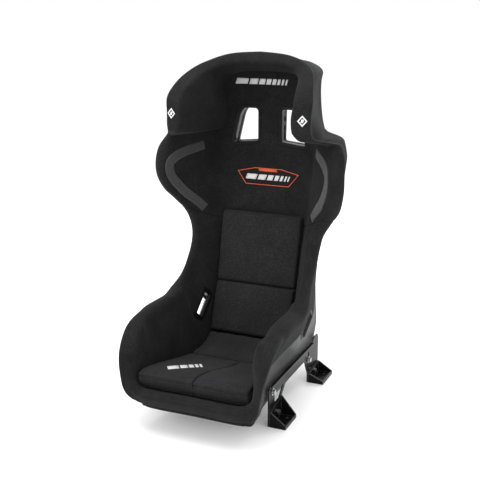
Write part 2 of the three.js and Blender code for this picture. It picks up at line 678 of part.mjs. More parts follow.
const LINER_END = 11.6;
const PANELS = {
  pan_liner: [BODY, 0.3, LINER_END],
  back_panel_pad: [BODY, LINER_END + 2 * seamGap, BODY.length - 1],
  head_centre_pad: [HEAD, 0, HEAD.length - 1.4],
};
const laminateSpace = laminate(SKIRT, PAD_DEPTH, RIM_SPACE);
const panelSpaces = Object.values(PANELS).map(([list, start, end]) => panel(list, start, end, 8, GAP));
const pads = [];
function addPad(name, geometry) {
  pads.push(geometry);
  add(seat, name, geometry, coverFinish);
}
// Padded walls.
const wallPieces = {
  side_bolster: wallPad(BODY, FRONT_SEAM, WAIST_SEAM, hemAt),
  shoulder_pad: wallPad(BODY, WAIST_SEAM + 2 * seamGap, BODY.length - 1, () => 0.12),
  head_wing_pad: wallPad(HEAD, 0, TOP_SEAM, () => 0.12),
};
const wallHoles = [lapHole, ...insertHoles];
for (const [name, blank] of Object.entries(wallPieces)) {
  addPad(`${name}_left`, cut(blank, laminateSpace, ...panelSpaces, ...wallHoles));
  addPad(`${name}_right`, cut(mirrored(blank), laminateSpace, ...panelSpaces, ...wallHoles.map(mirrored)));
}
addPad('pan_front_roll',
  cut(middleRoll(BODY, [FRONT_SEAM - seamGap, 1, 0], () => HEM[0]), laminateSpace, ...panelSpaces));
addPad('head_top_roll',
  cut(middleRoll(HEAD, [TOP_SEAM + 2 * seamGap, 5, 6, 7, 8], () => 0.12), laminateSpace, ...panelSpaces));

// The panels keep clear of the walls beside them, and of where each wall would be a gap further in.
const shifted = (geometry, x, y, z) => geometry.clone().translate(x, y, z);
const panelHoles = [crotchHole, ...bothSides([shoulderHole, ...insertHoles])];
const wallSpaces = pads.flatMap((wall) => [wall, shifted(wall, 0, 0, GAP), shifted(wall, 0, -GAP, 0)]);
for (const [name, [list, start, end]] of Object.entries(PANELS)) {
  const blank = panel(list, start, end, 8, 0);
  addPad(name, cut(blank, laminateSpace, ...panelHoles, ...wallSpaces));
}

// Loose cushions, each with room beside the walls.
function addCushion(name, geometry) {
  const walls = pads.slice(0, 2).flatMap((wall, k) => [wall, shifted(wall, (k ? 1 : -1) * GAP, 0, 0)]);
  add(seat, name, cut(geometry, ...walls), cushionFinish);
}
const full = { left: (s) => s.half, right: (s) => -s.half };
addCushion('seat_base_cushion', cushion(6, 8, along(SEAT), full.right, full.left, 8));
addCushion('lower_back_cushion', cushion(6, 8, along(LOWER_BACK), full.right, full.left, 8));
addCushion('lumbar_cushion', cushion(6, 8, along(LUMBAR), full.right, full.left, 8));
addCushion('thigh_cushion_left',
  cushion(10, 5, along(THIGH), (s) => splitX(s.face[0]) + 1.5, full.left, 8));
addCushion('thigh_cushion_right',
  cushion(10, 5, along(THIGH), full.right, (s) => splitX(s.face[0]) - 1.5, 8));

// Grip strips on the shoulder pads: places along the wall and up it, at the strip's middle.
const GRIP = { width: 27, lift: 1.2, thickness: 1.8 };
const GRIP_PATH = [[22.2, 0.5], [21.9, 0.74], [21.2, 0.94], [20.3, 0.97], [19.4, 0.9], [18.6, 0.8], [17.75, 0.62]];

function gripStrip() {
  const middles = GRIP_PATH.map(([place, v]) => ({ place, v, point: wallIn(sectionAt(BODY, place), v) }));
  const frames = middles.map(({ place, v, point }, i) => {
    const ahead = middles[Math.min(i + 1, middles.length - 1)].point;
    const behind = middles[Math.max(i - 1, 0)].point;
    const along = ahead.clone().sub(behind).normalize();
    const section = sectionAt(BODY, place);
    const slope = wallIn(section, v + 0.05).sub(wallIn(section, v - 0.05));
    const next = wallIn(sectionAt(BODY, place + 0.2), v).sub(wallIn(sectionAt(BODY, place - 0.2), v));
    const normal = next.cross(slope).normalize();
    if (normal.x > 0) normal.negate();
    const side = normal.clone().cross(along).normalize();
    return { point, normal, side };
  });
  const surface = (lift) => (i, j) => {
    const { point, normal, side } = frames[Math.round(i * (frames.length - 1))];
    return point.clone().addScaledVector(normal, lift).addScaledVector(side, GRIP.width * (j - 0.5));
  };
  const strip = slab(GRIP_PATH.length - 1, 2, surface(GRIP.lift + GRIP.thickness), surface(-2));
  const wall = pads[2];
  return cut(strip, wall, shifted(wall, -GAP, 0, 0), shifted(wall, 0, -GAP, 0));
}
addPair(seat, 'grip_strip', gripStrip(), finish(COLOUR.grip, 0.9));

// Badge plate on the upper back.
const BADGE = [[-66, -24], [66, -24], [93, 11], [40, 23], [-40, 23], [-93, 11]];
add(seat, 'back_badge', prism(BADGE, 1.6, [0, 175.2, 589], [1, 0, 0], [0, 0.16, 0.987]),
  finish(COLOUR.badge, 0.5));

// Belt opening bezels.
const shoulderRing = (y0, y1) => cut(
  shoulderTool(inset(SHOULDER_SLOT, GAP), y0, y1),
  shoulderTool(inset(SHOULDER_SLOT, BEZEL_WALL), y0 - 5, y1 + 5));
addPair(seat, 'shoulder_slot_bezel_front', shoulderRing(177, 209), mouldingFinish);
addPair(seat, 'shoulder_slot_bezel_rear', shoulderRing(209 + GAP, 236), mouldingFinish);
const lapRing = (x0, x1) => cut(lapTool(GAP, x0, x1), lapTool(BEZEL_WALL, x0 - 5, x1 + 5));
addPair(seat, 'lap_slot_bezel_inner', lapRing(-26, -GAP), mouldingFinish);
addPair(seat, 'lap_slot_bezel_outer', lapRing(0, 26), mouldingFinish);
add(seat, 'crotch_slot_bezel', cut(crotchTool(GAP, 46, 84), crotchTool(BEZEL_WALL, 40, 100)), mouldingFinish);

// Bolts into the shell, with their inserts and spacers: the front ones are the tilt pivots.
for (const [name, [y, z]] of Object.entries(SEAT_BOLTS)) {
  const bore = BOLT_R + GAP;
  addPair(seat, `${name}_insert`, ring(INSERT.radius, bore, INSERT.inside, INSERT.outside, y, z), steelFinish);
  addPair(seat, `${name}_spacer`, ring(SPACER.radius, bore, SPACER.inside, SPACER.outside, y, z), steelFinish);
  const face = BRACKET_X + BRACKET_T + GAP;
  addPair(seat, `${name}_washer`, ring(WASHER.radius, bore, face, face + WASHER.thickness, y, z), steelFinish);
  addPair(seat, `${name}_bolt`, bolt(face + WASHER.thickness + GAP, INSERT.inside + 2, y, z), steelFinish);
}

// Side brackets, their feet and the bolts between them.
addPair(mounts, 'side_bracket', bracketSolid(), bracketFinish);
for (const [place, foot] of Object.entries(FEET)) {
  addPair(mounts, `${place}_foot`, footSolid(foot), bracketFinish);
  const [y, z] = foot.bolt;
  const face = FOOT_X + FOOT_T + GAP;
  addPair(mounts, `${place}_foot_bolt`, bolt(face, BRACKET_X - 6, y, z), steelFinish);
  addPair(mounts, `${place}_foot_nut`, ring(NUT.radius, BOLT_R + GAP, BRACKET_X - GAP - NUT.height, BRACKET_X - GAP,
    y, z), steelFinish);
}

export default model;
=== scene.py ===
"""Looks of a racing bucket seat: padded covers over a carbon shell, loose cushions, bezels and brackets.

Shapes are in millimetres in the seat's own frame; SHIFT and MM bring them to the shared frame, in metres.
The camera, the lights and the materials are in metres.
"""
import math

import bmesh
import bpy
import numpy as np
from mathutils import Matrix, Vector
from mathutils.bvhtree import BVHTree


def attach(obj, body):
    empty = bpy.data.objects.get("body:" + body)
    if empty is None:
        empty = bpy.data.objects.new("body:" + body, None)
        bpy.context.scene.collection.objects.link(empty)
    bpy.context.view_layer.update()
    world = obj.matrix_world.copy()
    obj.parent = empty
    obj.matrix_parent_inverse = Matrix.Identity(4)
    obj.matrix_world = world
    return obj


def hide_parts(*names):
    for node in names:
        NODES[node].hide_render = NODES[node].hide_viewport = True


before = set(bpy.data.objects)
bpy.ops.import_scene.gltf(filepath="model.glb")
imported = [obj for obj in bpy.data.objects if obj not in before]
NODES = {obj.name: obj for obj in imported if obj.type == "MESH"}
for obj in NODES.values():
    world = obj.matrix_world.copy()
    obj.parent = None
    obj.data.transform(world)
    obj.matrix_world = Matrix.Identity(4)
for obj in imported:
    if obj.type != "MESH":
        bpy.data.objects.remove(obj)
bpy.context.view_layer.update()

MM = 0.001
SHIFT = np.array([0.0, 58.1, 0.0])
SCENE = bpy.context.scene

# ---------------- camera, lights and floor
CAMERA_AT = (0.9454, -2.1347, 1.1151)
CAMERA_YAW = 0.41126
CAMERA_PITCH = 0.28483
CAMERA_LENS = 64.82


def make_camera():
    data = bpy.data.cameras.new("camera")
    data.lens = CAMERA_LENS
    data.sensor_width = 36.0
    data.clip_start, data.clip_end = 0.05, 60.0
    camera = bpy.data.objects.new("camera", data)
    SCENE.collection.objects.link(camera)
    camera.location = CAMERA_AT
    camera.rotation_euler = (math.pi / 2 - CAMERA_PITCH, 0.0, CAMERA_YAW)
    SCENE.camera = camera


# name | place | aim | width and height | watts
LIGHTS = [
    ("top_light", (-0.3, -0.5, 3.2), (0, 0, 0.5), (2.4, 2.0), 62),
    ("front_light", (-1.6, -2.6, 1.9), (0, 0, 0.5), (1.6, 1.6), 26),
    ("side_light", (2.9, -0.7, 1.5), (0, 0, 0.4), (1.2, 1.6), 12),
    ("rim_light", (0.4, 2.6, 2.2), (0, 0, 0.6), (2.2, 1.2), 40),
]
FLOOR_HALF = 14.0
FLOOR_TONE = 0.86
FLOOR_GLOW = 0.16


def make_lights():
    world = bpy.data.worlds.new("studio")
    SCENE.world = world
    world.use_nodes = True
    background = world.node_tree.nodes["Background"]
    background.inputs["Color"].default_value = (1, 1, 1, 1)
    background.inputs["Strength"].default_value = 1.0
    SCENE.view_settings.view_transform = "Standard"
    for name, place, aim, size, power in LIGHTS:
        data = bpy.data.lights.new(name, "AREA")
        data.shape = "RECTANGLE"
        data.size, data.size_y = size
        data.energy = power
        lamp = bpy.data.objects.new(name, data)
        SCENE.collection.objects.link(lamp)
        lamp.location = place
        lamp.rotation_euler = (Vector(aim) - Vector(place)).to_track_quat("-Z", "Y").to_euler()


def make_floor():
    """A wide pale floor with a faint glow, so that it stays near white away from the lights."""
    mesh = bpy.data.meshes.new("floor")
    corners = [(x * FLOOR_HALF, y * FLOOR_HALF, 0) for x, y in ((-1, -1), (1, -1), (1, 1), (-1, 1))]
    mesh.from_pydata(corners, [], [(0, 1, 2, 3)])
    floor = bpy.data.objects.new("floor", mesh)
    SCENE.collection.objects.link(floor)
    finish = bpy.data.materials.new("floor_finish")
    finish.use_nodes = True
    inputs = finish.node_tree.nodes["Principled BSDF"].inputs
    inputs["Base Color"].default_value = (FLOOR_TONE, FLOOR_TONE, FLOOR_TONE, 1)
    inputs["Roughness"].default_value = 0.9
    inputs["Emission Color"].default_value = (1, 1, 1, 1)
    inputs["Emission Strength"].default_value = FLOOR_GLOW
    mesh.materials.append(finish)


make_camera()
make_lights()
make_floor()


# ---------------- materials
class Signal:
    """A node's output. Arithmetic on it adds Math nodes to its tree."""

    def __init__(self, nodes, socket):
        self.nodes, self.socket = nodes, socket

    def __add__(self, other):
        return self.nodes.math("ADD", self, other)

    def __sub__(self, other):
        return self.nodes.math("SUBTRACT", self, other)

    def __rsub__(self, other):
        return self.nodes.math("SUBTRACT", other, self)

    def __mul__(self, other):
        return self.nodes.math("MULTIPLY", self, other)

    def __truediv__(self, other):
        return self.nodes.math("DIVIDE", self, other)

    def sine(self):
        return self.nodes.math("SINE", self)

    def wave(self, pitch):
        return (self * (2 * math.pi / pitch)).sine()


class Nodes:
    """A material's node tree, with one call per node."""

    def __init__(self, name):
        self.material = bpy.data.materials.new(name)
        self.material.use_nodes = True
        self.tree = self.material.node_tree
        self.shader = self.tree.nodes["Principled BSDF"]

    def feed(self, socket, value):
        if isinstance(value, Signal):
            self.tree.links.new(value.socket, socket)
        else:
            socket.default_value = value

    def node(self, kind, inputs, **settings):
        made = self.tree.nodes.new(kind)
        for key, value in settings.items():
            setattr(made, key, value)
        for key, value in inputs.items():
            self.feed(made.inputs[key], value)
        return made

    def out(self, kind, inputs, output=0, **settings):
        return Signal(self, self.node(kind, inputs, **settings).outputs[output])

    def math(self, operation, a, b=0.0):
        return self.out("ShaderNodeMath", {0: a, 1: b}, operation=operation)

    def ramp(self, factor, stops):
        made = self.node("ShaderNodeValToRGB", {"Fac": factor})
        elements = made.color_ramp.elements
        while len(elements) < len(stops):
            elements.new(0.5)
        for element, (place, value) in zip(elements, stops):
            element.position = place
            element.color = (*value, 1) if isinstance(value, tuple) else (value, value, value, 1)
        return Signal(self, made.outputs["Color"])

    def spread(self, factor, low, high, to_low=0.0, to_high=1.0):
        inputs = dict(enumerate((factor, low, high, to_low, to_high)))
        return self.out("ShaderNodeMapRange", inputs, clamp=True)

    def mix(self, factor, a, b, blend="MIX"):
        inputs = {"Factor": factor, 6: a, 7: b}
        return self.out("ShaderNodeMix", inputs, 2, data_type="RGBA", blend_type=blend)

    def noise(self, vector, scale, detail=2.0, roughness=0.5, distortion=0.0):
        inputs = {"Vector": vector, "Scale": scale, "Detail": detail, "Roughness": roughness,
                  "Distortion": distortion}
        return self.out("ShaderNodeTexNoise", inputs, "Fac")

    def place(self):
        return self.out("ShaderNodeTexCoord", {}, "Object")

    def uv(self):
        return self.out("ShaderNodeUVMap", {}, "UV", uv_map="flat")

    def axes(self, vector):
        return [Signal(self, socket) for socket in self.node("ShaderNodeSeparateXYZ", {"Vector": vector}).outputs]

    def bump(self, height, strength, distance):
        return self.out("ShaderNodeBump", {"Height": height, "Strength": strength, "Distance": distance})

    def edges(self, radius):
        """1 on sharp edges and 0 on flats, from how far a rounded normal leans from the true one."""
        rounded_off = self.out("ShaderNodeBevel", {"Radius": radius}, samples=4)
        true = self.out("ShaderNodeNewGeometry", {}, "Normal")
        agree = self.out("ShaderNodeVectorMath", {0: rounded_off, 1: true}, "Value", operation="DOT_PRODUCT")
        return self.spread(1.0 - agree, 0.02, 0.25)

    def finish(self, **values):
        for key, value in values.items():
            self.feed(self.shader.inputs[key.replace("_", " ")], value)
        return self.material


def grey(value):
    return (value, value, value * 1.03, 1)


def knit_height(n, pitch):
    """Height of a fine knit: rows of stitches, every second one half a stitch along."""
    u, v, _ = n.axes(n.uv())
    along = v * (2 * math.pi / (pitch * 1.25))
    across = u * (2 * math.pi / pitch) + (along * 0.5).sine() * 0.9
    return (across.sine() * along.sine() + 1.0) * 0.5


def cover_fabric():
    """Black brushed knit: soft nap, brushed patches, paler fibres, a light sheen at grazing angles."""
    n = Nodes("cover_fabric")
    place = n.place()
    nap = n.noise(place, 16.0, 5.0, 0.65, 0.8)
    pile = n.noise(place, 330.0, 4.0, 0.8)
    fibre = n.noise(place, 2600.0, 1.0, 0.8)
    knit = knit_height(n, 0.0016)
    base = n.ramp(nap, [(0.32, (0.0068, 0.0068, 0.0072)), (0.68, (0.0135, 0.0135, 0.0142))])
    colour = n.mix(1.0, base, n.ramp(pile, [(0.36, 0.35), (0.66, 2.1)]), "MULTIPLY")
    colour = n.mix(knit * 0.25, colour, grey(0.024))
    height = knit * 0.5 + (pile + fibre * 0.4)
    return n.finish(Base_Color=colour, Roughness=n.spread(nap, 0.3, 0.7, 0.82, 0.95), Specular_IOR_Level=0.08,
                    Sheen_Weight=0.05, Sheen_Roughness=0.4, Sheen_Tint=(0.75, 0.77, 0.8, 1),
                    Normal=n.bump(height, 0.35, 0.0006))


def cushion_fabric():
    """Charcoal melange weave for the loose cushions: crossing threads, flecks, a slightly paler tone."""
    n = Nodes("cushion_fabric")
    place = n.place()
    pitch = 0.0019
    u, v, _ = n.axes(n.uv())
    weave = (u.wave(pitch) * v.wave(pitch) + 1.0) * 0.5
    fleck = n.noise(place, 300.0, 4.0, 0.8)
    cloud = n.noise(place, 11.0, 3.0, 0.55, 0.4)
    base = n.ramp(fleck, [(0.32, (0.008, 0.008, 0.0085)), (0.5, (0.016, 0.016, 0.017)),
                          (0.72, (0.042, 0.042, 0.044))])
    colour = n.mix(1.0, base, n.ramp(cloud, [(0.3, 0.7), (0.7, 1.2)]), "MULTIPLY")
    colour = n.mix(weave * 0.2, colour, grey(0.032))
    return n.finish(Base_Color=colour, Roughness=n.spread(cloud, 0.3, 0.7, 0.84, 0.95), Specular_IOR_Level=0.1,
                    Sheen_Weight=0.06, Sheen_Roughness=0.4, Sheen_Tint=(0.8, 0.8, 0.82, 1),
                    Normal=n.bump(weave + fleck * 0.6, 0.4, 0.0006))


def grip_fabric():
    """Grey high-grip tape: a small lozenge relief with dark joints."""
    n = Nodes("grip_fabric")
    pitch = 0.0042
    u, v, _ = n.axes(n.uv())
    lozenge = n.spread((u + v).wave(pitch) * (u - v).wave(pitch), -0.35, 0.55)
    fleck = n.noise(n.place(), 700.0, 3.0, 0.7)
    colour = n.ramp(lozenge, [(0.0, (0.008, 0.008, 0.009)), (0.55, (0.034, 0.034, 0.035)),
                              (1.0, (0.075, 0.075, 0.077))])
    colour = n.mix(1.0, colour, n.ramp(fleck, [(0.3, 0.7), (0.7, 1.25)]), "MULTIPLY")
    return n.finish(Base_Color=colour, Roughness=0.72, Specular_IOR_Level=0.3, Sheen_Weight=0.2,
                    Sheen_Roughness=0.5, Normal=n.bump(lozenge, 0.7, 0.0009))


def carbon_weave():
    """Lacquered carbon cloth: narrow tows, alternately bright and dark, under a clear coat."""
    n = Nodes("carbon_weave")
    tow = 0.0042
    u, v = (axis / tow for axis in n.axes(n.uv())[:2])
    step = n.math("FLOOR", u) + n.math("FLOOR", v)
    over = n.math("LESS_THAN", n.math("FLOORED_MODULO", step, 2.0), 1.0)
    under = 1.0 - over
    round_u, round_v = ((n.math("FRACT", axis) * math.pi).sine() for axis in (u, v))

    def strands(across, along):
        stretched = n.out("ShaderNodeCombineXYZ", {"X": u * across, "Y": v * along})
        return n.noise(stretched, 1.0, 2.0, 0.6)

    bright = round_u * over + (round_v * 0.42) * under
    strand = strands(9.0, 0.35) * over + strands(0.35, 9.0) * under
    tone = bright * n.spread(strand, 0.3, 0.7, 0.65, 1.15)
    colour = n.ramp(tone, [(0.0, (0.003, 0.003, 0.0033)), (0.45, (0.009, 0.0093, 0.0098)),
                           (1.0, (0.105, 0.108, 0.113))])
    haze = n.noise(n.place(), 6.0, 3.0, 0.5)
    return n.finish(Base_Color=colour, Roughness=n.spread(haze, 0.3, 0.7, 0.34, 0.46), Coat_Weight=0.08,
                    Coat_Roughness=0.1, Specular_IOR_Level=0.12,
                    Normal=n.bump(round_u * over + round_v * under, 0.35, 0.0006))


def bracket_gloss():
    """Black lacquered laminate plate: faint weave under the gloss, a painted highlight along the sharp edges,
    slightly uneven gloss.
    """
    n = Nodes("bracket_gloss")
    place = n.place()
    pitch = 0.0034
    x, y, z = n.axes(place)
    weave = ((y + z).wave(pitch) * (y - (z + x)).wave(pitch) + 1.0) * 0.5
    haze = n.noise(place, 18.0, 4.0, 0.6)
    colour = n.ramp(weave, [(0.0, (0.0015, 0.0015, 0.0016)), (1.0, (0.009, 0.009, 0.0095))])
    # painted highlight: sharp edges are painted pale grey, standing in for light caught along them
    colour = n.mix(n.edges(0.0016) * 0.8, colour, grey(0.22))
    return n.finish(Base_Color=colour, Roughness=n.spread(haze, 0.3, 0.7, 0.14, 0.26), Specular_IOR_Level=0.08,
                    Coat_Weight=0.02, Coat_Roughness=0.1, Normal=n.bump(weave, 0.08, 0.0004))


def moulded_plastic():
    """Satin black moulding with a fine spark-eroded grain and a painted highlight along its sharp edges."""
    n = Nodes("moulded_plastic")
    place = n.place()
    grain = n.noise(place, 1500.0, 2.0, 0.6)
    haze = n.noise(place, 45.0, 3.0, 0.5)
    # painted highlight: sharp edges are painted a paler grey, standing in for light caught along them; the haze
    # varies the tone at random
    colour = n.mix(n.edges(0.0012) * 0.4, n.ramp(haze, [(0.3, 0.003), (0.7, 0.006)]), grey(0.08))
    return n.finish(Base_Color=colour, Roughness=n.spread(haze, 0.3, 0.7, 0.34, 0.48), Specular_IOR_Level=0.18,
                    Normal=n.bump(grain, 0.2, 0.0003))


def bolt_steel():
    """Zinc-plated steel with fine turning marks and a slightly dull bloom."""
    n = Nodes("bolt_steel")
    place = n.place()
    stretched = n.out("ShaderNodeMapping", {"Vector": place, "Scale": (3000.0, 260.0, 260.0)})
    turning = n.noise(stretched, 1.0, 2.0, 0.6)
    bloom = n.noise(place, 70.0, 3.0, 0.55)
    colour = n.ramp(bloom, [(0.3, (0.42, 0.43, 0.44)), (0.7, (0.60, 0.61, 0.62))])
    return n.finish(Base_Color=colour, Metallic=1.0, Roughness=n.spread(turning, 0.3, 0.7, 0.24, 0.42),
                    Normal=n.bump(turning, 0.1, 0.0002))


def badge_rubber():
    """Matt black rubberised patch with a fine grain."""
    n = Nodes("badge_rubber")
    grain = n.noise(n.place(), 1100.0, 3.0, 0.7)
    colour = n.ramp(grain, [(0.3, 0.004), (0.7, 0.008)])
    return n.finish(Base_Color=colour, Roughness=n.spread(grain, 0.3, 0.7, 0.6, 0.75), Specular_IOR_Level=0.15,
                    Normal=n.bump(grain, 0.2, 0.0003))


def thread(name, colour, sheen):
    """Satin-stitch embroidery: parallel thread ridges."""
    n = Nodes(name)
    place = n.place()
    x, _, z = n.axes(place)
    ridge = ((x + z * 0.35).wave(0.0008) + 1.0) * 0.5
    fuzz = n.noise(place, 1400.0, 2.0, 0.6)
    shade = n.spread(ridge, 0.0, 1.0, 0.78, 1.0) * n.spread(fuzz, 0.3, 0.7, 0.88, 1.04)
    colour = n.mix(1.0, (*colour, 1), n.ramp(shade, [(0.0, 0.0), (1.0, 1.0)]), "MULTIPLY")
    return n.finish(Base_Color=colour, Roughness=0.6, Sheen_Weight=sheen, Normal=n.bump(ridge, 0.4, 0.0004))


COVER = cover_fabric()
CUSHION = cushion_fabric()
GRIP = grip_fabric()
CARBON = carbon_weave()
BRACKET = bracket_gloss()
PLASTIC = moulded_plastic()
RUBBER = badge_rubber()
STEEL = bolt_steel()
WHITE_THREAD = thread("white_thread", (0.80, 0.80, 0.80), 0.3)
RED_TRIM = thread("red_trim", (0.75, 0.10, 0.035), 0.1)

# ---------------- wall sections, close to the CAD's
# fold | crest | outer fold | rim thickness | hub: face y, z and shell y, z on the middle line | bulge.
BODY = [
    ((0, -322, 110), (0, -354, 92), (0, -320, 56), 42, (-300, 108, -296, 54), 0),
    ((128, -322, 110), (143, -353, 93), (130, -320, 56), 42, (-292, 107, -288, 54), 0),
    ((152, -315, 110), (178, -350, 114), (156, -312, 56), 45, (-282, 106, -278, 54), 2),
    ((158, -300, 110), (186, -347, 168), (161, -292, 58), 46, (-270, 104, -266, 55), 4),
    ((158, -282, 109), (187, -336, 228), (160, -268, 60), 50, (-256, 102, -252, 57), 4),
    ((155, -260, 106), (188, -296, 274), (156, -250, 58), 52, (-240, 100, -236, 56), 2),
    ((150, -232, 101), (190, -243, 290), (149, -222, 57), 53, (-220, 97, -216, 56), 0),
    ((140, -180, 92), (190, -186, 294), (144, -178, 54), 52, None, 0),
    ((128, -120, 84), (190, -132, 293), (144, -120, 50), 52, None, 0),
    ((124, -60, 80), (190, -88, 293), (144, -60, 47), 51, None, 0),
    ((122, -5, 88), (190, -52, 304), (144.5, 10, 50), 50, None, 4),
    ((121, 35, 110), (188, -20, 322), (144.5, 104, 61), 50, None, 6),
    ((120, 62, 145), (187, 6, 344), (146, 182, 92), 49, None, 8),
    ((120, 80, 195), (187, 28, 368), (151, 206, 150), 48, None, 8),
    ((121, 99, 255), (186, 47, 396), (152, 198, 222), 47, None, 6),
    ((122, 117, 320), (187, 60, 428), (152, 190, 300), 47, None, 4),
    ((123, 134, 385), (194, 66, 462), (153, 188, 375), 46, None, 4),
    ((125, 149, 440), (214, 71, 494), (155, 194, 434), 46, None, 5),
    ((128, 158, 495), (240, 55, 528), (158, 202, 491), 46, None, 8),
    ((132, 168, 545), (256, 24, 562), (161, 210, 545), 46, None, 12),
    ((136, 177, 595), (265, 4, 602), (164, 218, 595), 46, None, 18),
    ((138, 184, 640), (266, 0, 642), (165, 224, 640), 45, None, 28),
    ((137, 188, 675), (263, 14, 680), (162, 229, 680), 43, None, 36),
    ((130, 190, 727.5), (247, 38, 716), (158, 228, 731), 38, None, 36),
]
HEAD = [
    ((126, 188, 728), (191, -48, 738), (158, 226, 732), 38, (190, 728, 228, 732), 28),
    ((119, 187, 750), (183, -59, 758), (152, 227, 752), 50, (190, 750, 234, 752), 22),
    ((116, 186, 790), (181, -60, 790), (146, 228, 790), 53, (190, 790, 233, 790), 10),
    ((115, 185, 830), (184, -54, 829), (143, 228, 832), 51, (189, 825, 232, 825), 6),
    ((112, 183, 858), (176, -22, 862), (145, 222, 866), 47, (188, 840, 230, 840), 8),
    ((102, 181, 876), (160, 34, 894), (148, 216, 894), 42, (187, 848, 229, 850), 10),
    ((78, 179, 885), (132, 71, 914), (118, 213, 914), 40, (186, 853, 228, 856), 8),
    ((42, 178, 888), (84, 90, 929), (62, 213, 923), 40, (185, 857, 227, 860), 2),
    ((0, 178, 889), (0, 101, 935), (0, 214, 926), 40, (185, 859, 227, 863), 0),
]
HEM = [0.03, 0.03, 0.04, 0.14, 0.34, 0.52, 0.64, 0.68, 0.7, 0.7, 0.7, 0.66, 0.56, 0.43, 0.25, 0.1, 0.08]
GAP = 0.3                        # clearance between neighbouring pieces
SKIRT = 3.2                      # cover thickness where it wraps the outside of the shell
SHELL = 4.0                      # laminate thickness
PAD_DEPTH = SKIRT + SHELL + 2 * GAP
OUTER_FLARE = 1.8                # how late the outer wall turns outwards, 1 is a straight wall
INNER_FLARE = 1.5                # the same for the padded wall
BULGE_SCALE = 6.75               # makes the bulge full where v * v * (1 - v) peaks
WAIST_SEAM = 17.35               # places of the seams along BODY
FRONT_SEAM = 1.4
ROW_STEP = 6.0
RIM_SQUARENESS = 2.5             # 2 is a round rim, more is a flatter one
WING_SQUARENESS = 6.0
LIP_SQUARENESS = 5.0
SIDES = (("left", 1), ("right", -1))


def centripetal(points, i, t):
    """Point at t between points i and i + 1 on a centripetal Catmull-Rom curve through them all."""
    last = len(points) - 1
    p1, p2 = points[i], points[i + 1]
    p0 = points[i - 1] if i > 0 else 2 * points[0] - points[1]
    p3 = points[i + 2] if i + 2 <= last else 2 * points[last] - points[last - 1]
    d0, d1, d2 = (max(np.linalg.norm(b - a), 1e-6) ** 0.5 for a, b in ((p0, p1), (p1, p2), (p2, p3)))
    m1 = ((p1 - p0) / d0 - (p2 - p0) / (d0 + d1) + (p2 - p1) / d1) * d1
    m2 = ((p2 - p1) / d1 - (p3 - p1) / (d1 + d2) + (p3 - p2) / d2) * d1
    return (p1 + m1 * t + (-3 * p1 + 3 * p2 - 2 * m1 - m2) * t * t + (2 * p1 - 2 * p2 + m1 + m2) * t ** 3)


def unit(v):
    return v / max(np.linalg.norm(v), 1e-9)


class Section:
    """One section of the wall, with the directions up it and out of it."""

    def __init__(self, table, place):
        i = min(int(place), len(table) - 2)
        t = place - i
        column = [np.array([row[k] for row in table], float) for k in range(3)]
        self.fold, self.crest, self.outer = (centripetal(c, i, t) for c in column)
        hubs = [row[4] or (row[0][1], row[0][2], row[2][1], row[2][2]) for row in table[i:i + 2]]
        hub = np.array(hubs[0]) * (1 - t) + np.array(hubs[1]) * t
        self.roll, self.bulge = (table[i][k] * (1 - t) + table[i + 1][k] * t for k in (3, 5))
        self.hub_face = np.array([0, hub[0], hub[1]])
        self.hub_shell = np.array([0, hub[2], hub[3]])
        self.up = unit(self.crest - self.fold)
        out = self.outer - self.fold
        self.out = unit(out - self.up * out.dot(self.up))
        self.rise = unit(self.hub_face - self.hub_shell)
        self.squareness = RIM_SQUARENESS
        if table is HEAD:
            self.squareness = np.interp(place, [4, 6], [WING_SQUARENESS, RIM_SQUARENESS])
        elif place < 4:
            self.squareness = np.interp(place, [1, 4], [LIP_SQUARENESS, RIM_SQUARENESS])
        self.centre = self.crest - self.up * self.roll / 2
        self.inner = self.centre - self.out * self.roll / 2
        self.edge = self.centre + self.out * self.roll / 2

    def flared(self, low, high, v, flare):
        span = high - low
        climb = self.rise * span.dot(self.rise)
        v = np.asarray(v, float)[:, None]
        return low + climb * v + (span - climb) * v ** flare

    def wall_in(self, v):
        return self.flared(self.fold, self.inner, v, INNER_FLARE)

    def wall_out(self, v):
        v = np.asarray(v, float)
        swell = self.bulge * BULGE_SCALE * v * v * (1 - v)
        return self.flared(self.outer, self.edge, v, OUTER_FLARE) + np.outer(swell, self.out)

    def in_wall(self, v, depth):
        outside, inside = self.wall_out(v), self.wall_in(v)
        way = inside - outside
        return outside + way / np.linalg.norm(way, axis=1, keepdims=True) * np.asarray(depth, float).reshape(-1, 1)


# Points along a row: floor from the middle line to the fold, wall, rim, outside down to the hem.
FLOOR = np.linspace(0, 1, 25)
WALL = np.linspace(0, 1, 41)[1:]
RIM = np.linspace(0, 1, 18)[1:-1]
OUTSIDE = np.linspace(0, 1, 22)
FOLD_AT = len(FLOOR) - 1
RIM_AT = FOLD_AT + len(WALL)


def rim_arc(section):
    angle = math.pi * (1 - RIM)
    power = 2 / section.squareness
    x = np.sign(np.cos(angle)) * np.abs(np.cos(angle)) ** power
    y = np.sin(angle) ** power
    half = section.roll / 2
    return section.centre + np.outer(x * half, section.out) + np.outer(y * half, section.up)


def softened(path, fold_at, radius):
    """The path with its fold rounded by a running average, wide at the fold and narrow away from it."""
    steps = np.linalg.norm(np.diff(path, axis=0), axis=1)
    s = np.concatenate([[0], np.cumsum(steps)])
    share = np.gradient(s)
    off = np.abs(s - s[fold_at])
    sigma = np.maximum(0.01, radius * np.exp(-(off / (2.0 * radius)) ** 2))
    sigma = np.minimum(sigma, np.maximum(0.01, 0.45 * s))
    weight = np.exp(-((s[:, None] - s[None, :]) / sigma[:, None]) ** 2 / 2) * share[None, :]
    return (weight / weight.sum(1, keepdims=True)) @ path


